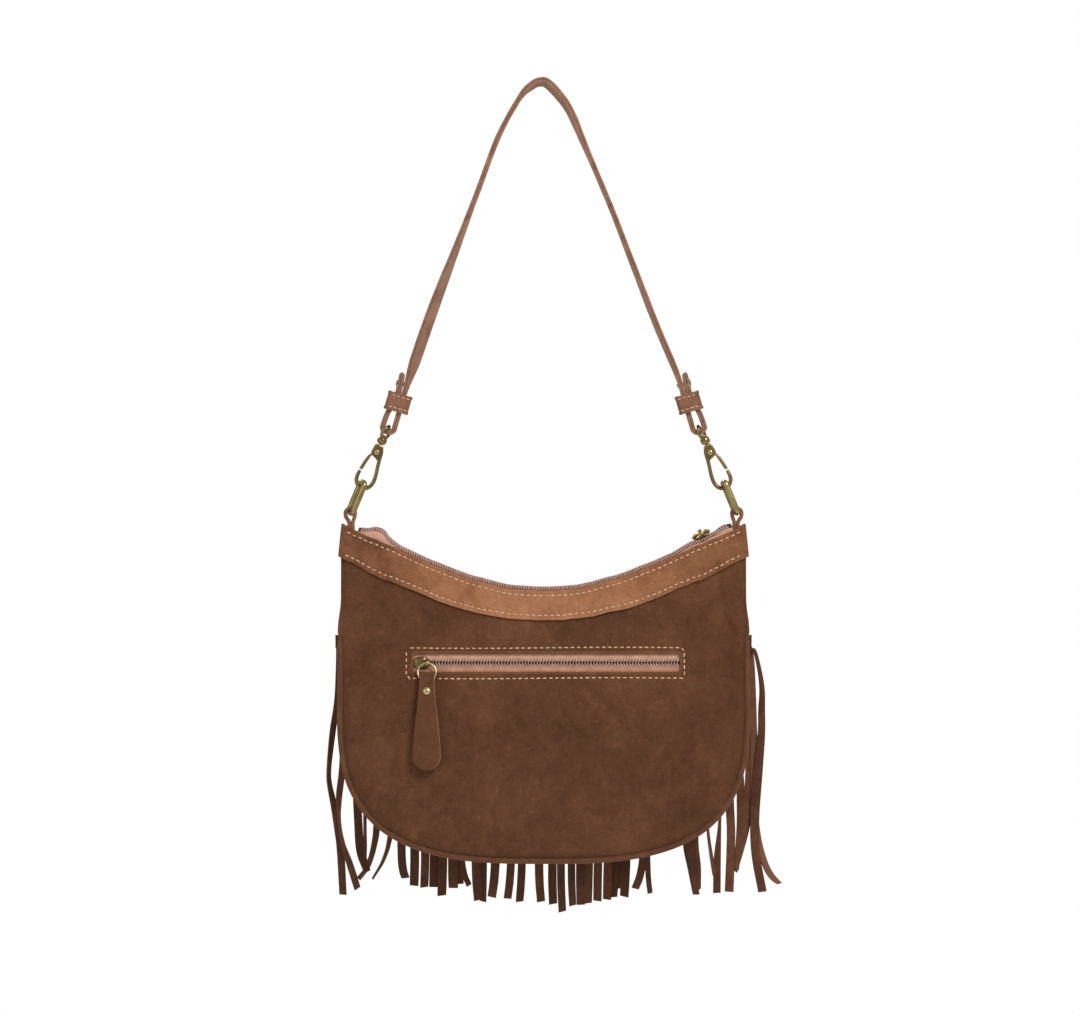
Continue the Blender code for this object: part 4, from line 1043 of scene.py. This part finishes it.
def pull_line(fold, outside, up, angles, straight, bend, length):
    """The pull's middle line from its fold, bending between two angles, and the way its face looks."""
    found = []
    faces = []
    spot = fold.copy()
    parts = 58
    for k in range(parts):
        run = length * (k + 1) / parts
        share = min(max((run - straight) / bend, 0.0), 1.0)
        angle = math.radians(angles[0] + (angles[1] - angles[0]) * share)
        spot = spot + (Y * outside * math.sin(angle) - up * math.cos(angle)) * length / parts
        found.append(spot.copy())
        faces.append(Y * outside * math.cos(angle) + up * math.sin(angle))
    return found, faces


def pull_tab(name, fold, middle, face_out, along, body, node, rivet_node, rivet_at):
    """A suede pull folded over the ring, closed by a domed rivet."""
    around = 1.65
    down = (middle[0] - fold).normalized()
    crest = fold - down * 3.2
    leaf = [m + f * around for m, f in zip(middle, face_out) if (m - fold).length > 1.0][::-1]
    turn = []
    for k in range(13):
        a = math.pi * k / 12
        turn.append(crest + face_out[0] * around * math.cos(a) - down * around * math.sin(a))
    short = [m - f * around for m, f in zip(middle, face_out) if 1.0 < (m - fold).length < 16]
    path = leaf + turn + short
    total = measured(path)
    full = total[len(leaf)]
    sections = []
    for run in total:
        from_ring = max(full - run, 0)
        wide = 4.8 + 4.2 * step_up(from_ring / full * 1.15)
        tip = run / 9
        if tip < 1:
            wide = wide * math.sqrt(max(1 - (1 - tip) ** 2, 0.03))
        sections.append(rounded(wide, 0.65, 0.3, 2))
    points, faces = sweep(path, sections, along)
    picks = []
    n = len(sections[0])
    for k in range(len(path) - 1):
        picks += [1 if j % 6 in (0, 1) and j // 6 in (0, 1) or j in (5, n - 1) else 0 for j in range(n)]
    picks += [1, 1]
    add(name, points, faces, [PULL, PULL_EDGE], body=body, nodes=[node], slot="suede", picks=picks)
    near = min(range(len(middle)), key=lambda k: abs((middle[k] - fold).length - rivet_at))
    reach = around + 0.65
    dome = [(reach - 0.3, 1.2), (reach + 0.1, 2.5), (reach + 0.35, 2.62), (reach + 0.8, 2.4), (reach + 1.25, 1.8)]
    dome += [(reach + 1.5, 1.0), (reach + 1.58, 0.2)]
    heap = Heap()
    heap.put(*lathe(middle[near], face_out[near], dome))
    post = [(0.2, 1.1), (reach, 1.1), (reach, 2.4), (reach + 0.4, 2.2), (reach + 0.5, 0.4)]
    heap.put(*lathe(middle[near], -face_out[near], post))
    heap.put(*lathe(middle[near], face_out[near], [(-0.3, 1.1), (reach, 1.1)]))
    heap.add(name + "_rivet", [PALE_BRASS], body=body, nodes=[rivet_node], slot="antique_brass")


centre = Vector((-79.3, CHAIN_Y, -375))
hole = slider("pocket_slider_brass", centre, X, Z, -Y, "pocket_slider", "pocket_slider", 4.0)
hang = Vector((0, -math.sin(math.radians(15)), -math.cos(math.radians(15))))
fold = pull_ring("pocket_ring_brass", hole, hang, X, "pocket_ring", "pocket_pull_ring")
middle, outs = pull_line(fold, -1, Z, (15, 5), 14, 8, 58)
pull_tab("pocket_pull_suede", fold, middle, outs, X, "pocket_tab", "pocket_pull_tab", "pocket_pull_rivet", 6.6)

here, tangent, normal = mouth_frame(105.0)
hole = slider("mouth_slider_brass", here + normal * 2.5, tangent, Y, normal, "mouth_slider", "mouth_slider")
slant = math.radians(24)
pull_along = Vector((math.cos(slant), 0, math.sin(slant)))
pull_up = Vector((-math.sin(slant), 0, math.cos(slant)))
toward = pull_up * math.cos(math.radians(104)) + Y * math.sin(math.radians(104))
fold = pull_ring("mouth_ring_brass", hole, toward, pull_along, "mouth_ring", "mouth_pull_ring")
middle, outs = pull_line(fold, 1, pull_up, (76, 8), 0.5, 5.5, 58)
pull_tab("mouth_pull_suede", fold, middle, outs, pull_along, "mouth_tab", "mouth_pull_tab", "mouth_pull_rivet", 12.5)


# ---------------------------------------------------------------- strap
# The strap's two sides as (x, z) from its crest to its keepers, and the centre of each swivel eye
right_limb = [(-2.2, 1.7), (2.6, 0.6), (10.5, -7.6), (17.6, -18.2), (27.0, -40), (43.6, -79.3), (56.4, -112.5)]
right_limb += [(73.2, -156), (86.9, -188.5), (92.2, -206.5)]
left_limb = [(-7.2, -0.4), (-15.4, -8.4), (-29.0, -33), (-41.9, -67), (-54.3, -100), (-71.8, -146)]
left_limb += [(-86.0, -187), (-92.2, -206.5)]
EYE = (JOINT_AT["eye_swing_right"].x, JOINT_AT["eye_swing_right"].z)


def limb_end(sign):
    """From the keeper round the swivel eye and back up to the tail."""
    knots = [(94.2, -214.0), (EYE[0] - 3.95, EYE[1])]
    around = 3.95
    for angle in range(30, 181, 30):
        a = math.radians(angle)
        knots.append((EYE[0] - around * math.cos(a), EYE[1] - around * math.sin(a)))
    knots += [(101.2, -213.0), (96.6, -206.0), (94.5, -199.0), (93.9, -196.0)]
    return [(sign * x, z) for x, z in knots]


def strap_tail(side, sign):
    """The strap's end, thinned and doubled back on itself above the keeper."""
    knots = [(94.6, -199.5), (93.7, -193.0), (92.9, -188.8), (92.0, -187.7), (91.1, -188.9), (91.7, -193.0)]
    knots += [(92.8, -197.5), (93.3, -200.5)]
    path = smooth_path([(sign * x, 0, z) for x, z in knots], 7)
    points, faces = sweep(path, rounded(5.3, 0.82, 0.4, 3), Y)
    add("strap_tail_" + side, points, faces, STRAP, slot="strap_leather")


def strap():
    """One flat strip with grooved edges, which twists a little along its sides."""
    centre_line = (left_limb + limb_end(-1))[::-1] + right_limb + limb_end(1)
    path = smooth_path([(x, 0, z) for x, z in centre_line], 9)
    half = [(5.2, -1.62), (5.42, -1.35), (5.5, -0.9), (5.5, -0.35), (5.22, 0.0)]
    half += [(5.5, 0.35), (5.5, 0.9), (5.42, 1.35), (5.2, 1.62)]
    inner = [(x, 1.62 + 0.06 * (1 - (x / 5.2) ** 2)) for x in (3, 1, -1, -3)]
    outer = [(-x, -y) for x, y in inner]
    base = half + inner + [(-x, -y) for x, y in half] + outer
    sections = []
    for k, spot in enumerate(path):
        wide = 1 + 0.025 * noise.noise(spot / 9)
        thick = 1 + 0.07 * noise.noise(spot / 7 + Vector((5, 0, 0)))
        sections.append([(x * wide, y * thick) for x, y in base])
    sides = []
    for k, spot in enumerate(path):
        way = (path[min(k + 1, len(path) - 1)] - path[max(k - 1, 0)]).normalized()
        inward = Vector((way.z, 0, -way.x))
        turn = 15 * math.exp(-(((spot.x - 6) / 20) ** 2)) * step_up((spot.z + 60) / 30)
        turn -= 7 * math.exp(-(((spot.x + 19) / 7) ** 2)) * step_up((spot.z + 60) / 30)
        near_keeper = step_up((-70 - spot.z) / 90) * (1 - step_up((-176 - spot.z) / 26))
        turn += (24 if spot.x < 0 else 4) * near_keeper
        turn = math.radians(turn)
        sides.append((Y * math.cos(turn) + inward * math.sin(turn)).normalized())
    points, faces = sweep(path, sections, sides)
    n = len(base)
    picks = []
    for k in range(len(path) - 1):
        picks += [1 if j in (3, 4, 16, 17) else 0 for j in range(n)]
    picks += [1, 1]
    add("strap_leather_band", points, faces, [STRAP, STRAP_EDGE], nodes=["strap"], slot="strap_leather", picks=picks)


strap()
strap_tail("left", -1)
strap_tail("right", 1)


# ---------------------------------------------------------------- pieces on each side
def keeper(side, sign):
    """A stitched sleeve, puffed at its two ends."""
    along = Vector((sign * 5.0, 0, -17.0)).normalized()
    outward = Vector((sign * 17.0, 0, 5.0)).normalized()
    dice = random.Random(60 + sign)
    middle = Vector((sign * 94.4, 0, -206.3))
    inner = []
    outer = []
    shape_in = rounded(6.3, 6.1, 2.2, 6)
    loop = shape_in + shape_in[:1]
    for u in steps(-1.0, 14, 1.0):
        swell = 0.4 * math.exp(-(((abs(u) - 0.85) / 0.2) ** 2)) - 0.25 * math.exp(-(((abs(u) - 0.6) / 0.1) ** 2))
        row_in = []
        row_out = []
        for a, b in loop:
            size = math.hypot(a, b)
            grow = 1 + (1.75 + swell) / size
            edge = 6.0 * u + 0.3 + 0.25 * noise.noise(Vector((a, b, sign)))
            row_in.append(middle + outward * a + Y * b + along * edge)
            row_out.append(middle + outward * a * grow + Y * b * grow + along * edge)
        inner.append(row_in)
        outer.append(row_out)
    body = "keeper_" + side
    sheet("keeper_leather_" + side, inner, outer, [KEEPER, STRAP_EDGE], (), 1, body=body,
          nodes=["strap_keeper_" + side], slot="strap_leather")
    heap = Heap()
    for face in (-1, 1):
        for row in (-3.6, 4.0):
            path = [middle + outward * a + Y * face * 7.78 + along * row for a in (-7.0, -3.5, 0, 3.5, 7.0)]
            stitches(heap, path, [Y * face] * 5, 3.2, 2.2, 0.36, 0.2, dice)
    heap.add("keeper_stitches_" + side, [THREAD], body=body, slot="strap_leather")


def strap_rivet(side, sign):
    """Two heads and a post through the strap and its tail."""
    outward = Vector((sign * 17.0, 0, 5.0)).normalized()
    spot = Vector((sign * 90.9, 0, -194.5))
    heap = Heap()
    dome = [(3.9, 1.2), (4.0, 2.6), (4.25, 2.75), (4.6, 2.5), (4.9, 1.9), (5.05, 1.0), (5.1, 0.2)]
    flat = [(2.4, 1.2), (2.6, 2.7), (3.0, 2.8), (3.3, 2.3), (3.45, 0.3)]
    heap.put(*lathe(spot, outward, dome))
    heap.put(*lathe(spot, -outward, flat))
    heap.put(*lathe(spot, outward, [(-4.4, 1.25), (4.4, 1.25)]))
    heap.add("strap_rivet_brass_" + side, [PALE_BRASS], nodes=["strap_rivet_" + side], slot="antique_brass")


def side_tab(side, sign):
    """A leather strip looped over the oval ring's foot."""
    foot_x = JOINT_AT["ring_swing_right"].x
    foot_z = JOINT_AT["ring_swing_right"].z
    around = 1.55 + 0.5 + 1.1  # the ring's wire, a gap and half the leather
    knots = [(124.0, -305.0), (123.9, -292.0), (foot_x - 1.7, foot_z - 6.2), (foot_x - 2.75, foot_z - 2.6)]
    for angle in range(0, 181, 30):
        a = math.radians(angle)
        knots.append((foot_x - around * math.cos(a), foot_z + around * math.sin(a)))
    knots += [(foot_x + 2.75, foot_z - 2.6), (foot_x + 0.75, foot_z - 6.2), (126.3, -292.0), (126.4, -305.0)]
    path = smooth_path([(sign * x, 0, z) for x, z in knots], 5)
    points, faces = sweep(path, rounded(5.0, 1.1, 0.6, 3), Y)
    add("side_tab_suede_" + side, points, faces, TAB, nodes=["side_tab_" + side], slot="suede")


SIDES = (("left", -1), ("right", 1))
for side, sign in SIDES:
    keeper(side, sign)
    strap_rivet(side, sign)
    side_tab(side, sign)


# ---------------------------------------------------------------- swivel hooks and oval rings
CHAIN_TILT = math.radians(26.0)  # how far each hook leans from the plumb line


def plate(heap, outline, place, levels):
    """A flat piece with eased edges; `levels` are (height, size) pairs about the outline's middle."""
    middle_v = sum(v for v, s in outline) / len(outline)
    middle_s = sum(s for v, s in outline) / len(outline)
    points = []
    for y, size in levels:
        points += [place(middle_v + (v - middle_v) * size, middle_s + (s - middle_s) * size, y) for v, s in outline]
    heap.put(points, tube_faces(len(outline), len(levels)))


def smooth_outline(corners, parts=4):
    """A closed smooth outline through the corners."""
    knots = [Vector((v, 0, s)) for v, s in corners]
    looped = smooth_path([knots[-1], *knots, knots[0], knots[1]], parts)
    return [(p.x, p.z) for p in looped[parts : parts * (len(corners) + 1)]]


def chain_hardware(side, sign):
    """The swivel eye, hook, gate, gate pin and oval ring of one side."""

    def place(v, s, y=0.0, tilt=CHAIN_TILT, base=EYE):
        x = base[0] + s * math.sin(tilt) + v * math.cos(tilt)
        return Vector((sign * x, y, base[1] - s * math.cos(tilt) + v * math.sin(tilt)))

    # swivel eye: a bent wire loop on a turned, bored collar
    yaw = math.radians(16)
    loop = []
    for k in range(44):
        a = 2 * math.pi * k / 44
        across = math.copysign(abs(math.cos(a)) ** 0.62, math.cos(a)) * 7.4
        down = 4.6 - math.copysign(abs(math.sin(a)) ** 0.62, math.sin(a)) * 4.6
        across *= 1 - 0.42 * step_up((down - 4.4) / 5.4)
        loop.append(place(math.sin(yaw) * across * sign * step_up(down / 4.0), down, across))
    flat = (place(1, 0) - place(0, 0)).normalized()
    heap = Heap()
    points, faces = sweep(loop, circle(1.15, 12), flat, closed=True)
    heap.put(points, faces)
    down = (place(0, 1) - place(0, 0)).normalized()
    ball = [(7.9, 1.5), (7.9, 2.1), (8.4, 2.75), (9.2, 3.05), (10.4, 3.15), (11.6, 3.0), (12.3, 2.5), (12.6, 1.9)]
    heap.put(*lathe(place(0, 0), down, ball + [(12.6, 1.5)]))
    heap.add("swivel_eye_brass_" + side, [BRASS], body="eye_" + side, nodes=["swivel_eye_" + side],
             slot="antique_brass")

    # hook: stem, neck, spine, bow and nose in one bar, with cheeks for the gate
    profile = [(0, 6.4, 1.4), (0, 6.7, 2.0), (0, 7.7, 2.1), (0, 7.9, 1.15), (0, 12.9, 1.15), (0, 13.1, 2.1)]
    profile += [(-0.1, 14.2, 2.3), (-1.0, 15.2, 1.8), (-2.6, 16.6, 1.4), (-3.4, 19.0, 1.25), (-4.1, 23.0, 1.2)]
    profile += [(-5.0, 27.0, 1.2), (-6.0, 31.0, 1.22), (-6.7, 35.0, 1.28), (-6.7, 38.2, 1.32), (-5.6, 41.2, 1.36)]
    profile += [(-3.4, 43.1, 1.38), (-0.8, 43.6, 1.38), (1.7, 42.8, 1.36), (3.7, 40.6, 1.3), (4.5, 38.0, 1.25)]
    profile += [(4.5, 35.6, 1.18), (4.5, 33.75, 1.05)]
    spots = smooth_path([place(v, s) for v, s, r in profile], 3)
    radii = smooth_path([Vector((r, 0, 0)) for v, s, r in profile], 3)
    heap = Heap()
    points, faces = sweep(spots, [circle(max(r.x, 0.6), 14) for r in radii], Y)
    heap.put(points, faces)
    corners = [(-2.6, 13.7), (2.2, 13.7), (3.0, 16.4), (3.0, 20.2)]
    corners += [(1.2, 21.7), (-1.6, 22.6), (-3.9, 23.6), (-3.4, 18.0)]
    outline = smooth_outline(corners)
    pivot = place(-0.4, 18.5)
    for ear in (-1, 1):
        levels = [(ear * 1.0, 0.97), (ear * 1.2, 1.0), (ear * 1.95, 1.0), (ear * 2.2, 0.95), (ear * 2.3, 0.86)]
        plate(heap, outline, place, levels)
    heap.add("hook_brass_" + side, [BRASS], body="hook_" + side, nodes=["hook_" + side], slot="antique_brass")

    # gate: tongue, hub and round bar, and the pin with its two peened heads
    gate = [(0.6, 19.3, 0.7), (2.5, 21.4, 0.8), (3.2, 23.6, 1.05)]
    gate += [(3.8, 27.5, 1.1), (4.35, 32.2, 1.1), (4.4, 32.9, 0.9)]
    spots = smooth_path([place(v, s) for v, s, r in gate], 3)
    radii = smooth_path([Vector((r, 0, 0)) for v, s, r in gate], 3)
    heap = Heap()
    points, faces = sweep(spots, [circle(r.x, 12) for r in radii], Y)
    heap.put(points, faces)
    heap.put(*lathe(pivot, Y, [(-0.8, 1.0), (-0.8, 1.7), (0.8, 1.7), (0.8, 1.0)]))
    heap.add("gate_brass_" + side, [BRASS], body="gate_" + side, nodes=["hook_gate_" + side], slot="antique_brass")
    heads = [(-2.95, 0.2), (-2.9, 0.9), (-2.7, 1.4), (-2.4, 1.6), (-2.32, 0.8), (2.32, 0.8), (2.4, 1.6), (2.7, 1.4)]
    points, faces = lathe(pivot, Y, heads + [(2.9, 0.9), (2.95, 0.2)])
    add("gate_pin_brass_" + side, points, faces, PALE_BRASS, body="hook_" + side, nodes=["gate_pin_" + side],
        slot="antique_brass")

    # oval ring, heavier along its two legs, standing a little turned in the tab
    bar = place(-0.8, 39.7)
    base = (abs(bar.x), bar.z)
    tilt = math.radians(22.5)
    yaw = math.radians(13 if sign < 0 else -4)
    ring = []
    sizes = []
    for quarter in range(4):
        for part in (0, 11, 22, 34, 45, 56, 68, 79, 90):
            a = math.radians(90 * quarter + part)
            middle = math.radians(90 * quarter + 45)
            across = math.copysign(4.9, math.cos(middle)) + 2.7 * math.cos(a)
            down = 11 - math.copysign(8.3, math.sin(middle)) - 2.7 * math.sin(a)
            leg = step_up((abs(across) - 5.0) / 2.2)
            ring.append(place(math.sin(yaw) * across * leg, down, across, tilt, base))
            sizes.append(circle(1.5 + 0.42 * leg, 14))
    flat = (place(1, 0, 0, tilt, base) - place(0, 0, 0, tilt, base)).normalized()
    points, faces = sweep(ring, sizes, flat, closed=True)
    add("oval_ring_brass_" + side, points, faces, RING_BRASS, body="ring_" + side, nodes=["oval_ring_" + side],
        slot="antique_brass")


for side, sign in SIDES:
    chain_hardware(side, sign)

# carried-over lining
for name in frame["nodes"]:
    made = bpy.data.objects.get(name)
    if made is not None and made.type == "MESH" and made.data.materials and "lining" in name:
        made.data.materials[0] = LINING


# ---------------------------------------------------------------- stage, light and camera
def stage_and_light():
    floor_mesh = bpy.data.meshes.new("floor")
    rim = [(2.2 * a, 2.2 * b, -1.05) for a, b in circle(1.0, 96)]
    floor_mesh.from_pydata(rim, [], [tuple(range(96))])
    look = Look("floor_paper", 0.9)
    clouds = look.noise(2.0)
    floor_mesh.materials.append(look.done(look.ramp(clouds, [(0, (0.9, 0.9, 0.9, 1)), (1, (0.93, 0.93, 0.93, 1))])))
    floor = bpy.data.objects.new("floor", floor_mesh)
    bpy.context.scene.collection.objects.link(floor)

    world = bpy.data.worlds.new("studio")
    bpy.context.scene.world = world
    world.use_nodes = True
    nodes = world.node_tree.nodes
    join = world.node_tree.links.new
    background = nodes["Background"]
    background.inputs["Color"].default_value = (1.0, 1.0, 1.0, 1.0)
    background.inputs["Strength"].default_value = 1.0
    dim = nodes.new("ShaderNodeBackground")
    dim.inputs["Color"].default_value = (1.0, 0.985, 0.97, 1.0)
    dim.inputs["Strength"].default_value = 0.42
    seen = nodes.new("ShaderNodeLightPath")
    both = nodes.new("ShaderNodeMixShader")
    join(seen.outputs["Is Camera Ray"], both.inputs["Fac"])
    join(dim.outputs["Background"], both.inputs[1])
    join(background.outputs["Background"], both.inputs[2])
    join(both.outputs["Shader"], nodes["World Output"].inputs["Surface"])

    def lamp(name, spot, aim, size, power, colour=(1, 1, 1)):
        data = bpy.data.lights.new(name, "AREA")
        data.shape = "DISK"
        data.size = size
        data.energy = power
        data.color = colour
        made = bpy.data.objects.new(name, data)
        made.location = spot
        made.rotation_euler = (Vector(aim) - Vector(spot)).to_track_quat("-Z", "Y").to_euler()
        bpy.context.scene.collection.objects.link(made)

    lamp("key", (1.0, -1.6, 1.1), (0, 0, -0.35), 0.8, 30.0, (1, 0.97, 0.94))
    lamp("fill", (-1.4, -1.6, 0.2), (0, 0, -0.3), 1.2, 5.0)
    lamp("back_key", (-1.0, 1.7, 1.0), (0, 0, -0.35), 0.9, 22.0)


def camera():
    data = bpy.data.cameras.new("camera")
    data.sensor_width = 36.0
    distance = 3.0
    data.lens = 36.0 * distance / 0.702
    data.clip_end = 60.0
    made = bpy.data.objects.new("camera", data)
    aim = Vector((-0.0023, 0.0, -0.275))
    tilt = math.radians(0.5)
    made.location = aim + Vector((0, -distance * math.cos(tilt), distance * math.sin(tilt)))
    made.rotation_euler = (aim - made.location).to_track_quat("-Z", "Y").to_euler()
    bpy.context.scene.collection.objects.link(made)
    bpy.context.scene.camera = made


stage_and_light()
camera()
bpy.context.scene.view_settings.view_transform = "Standard"
bpy.context.view_layer.update()
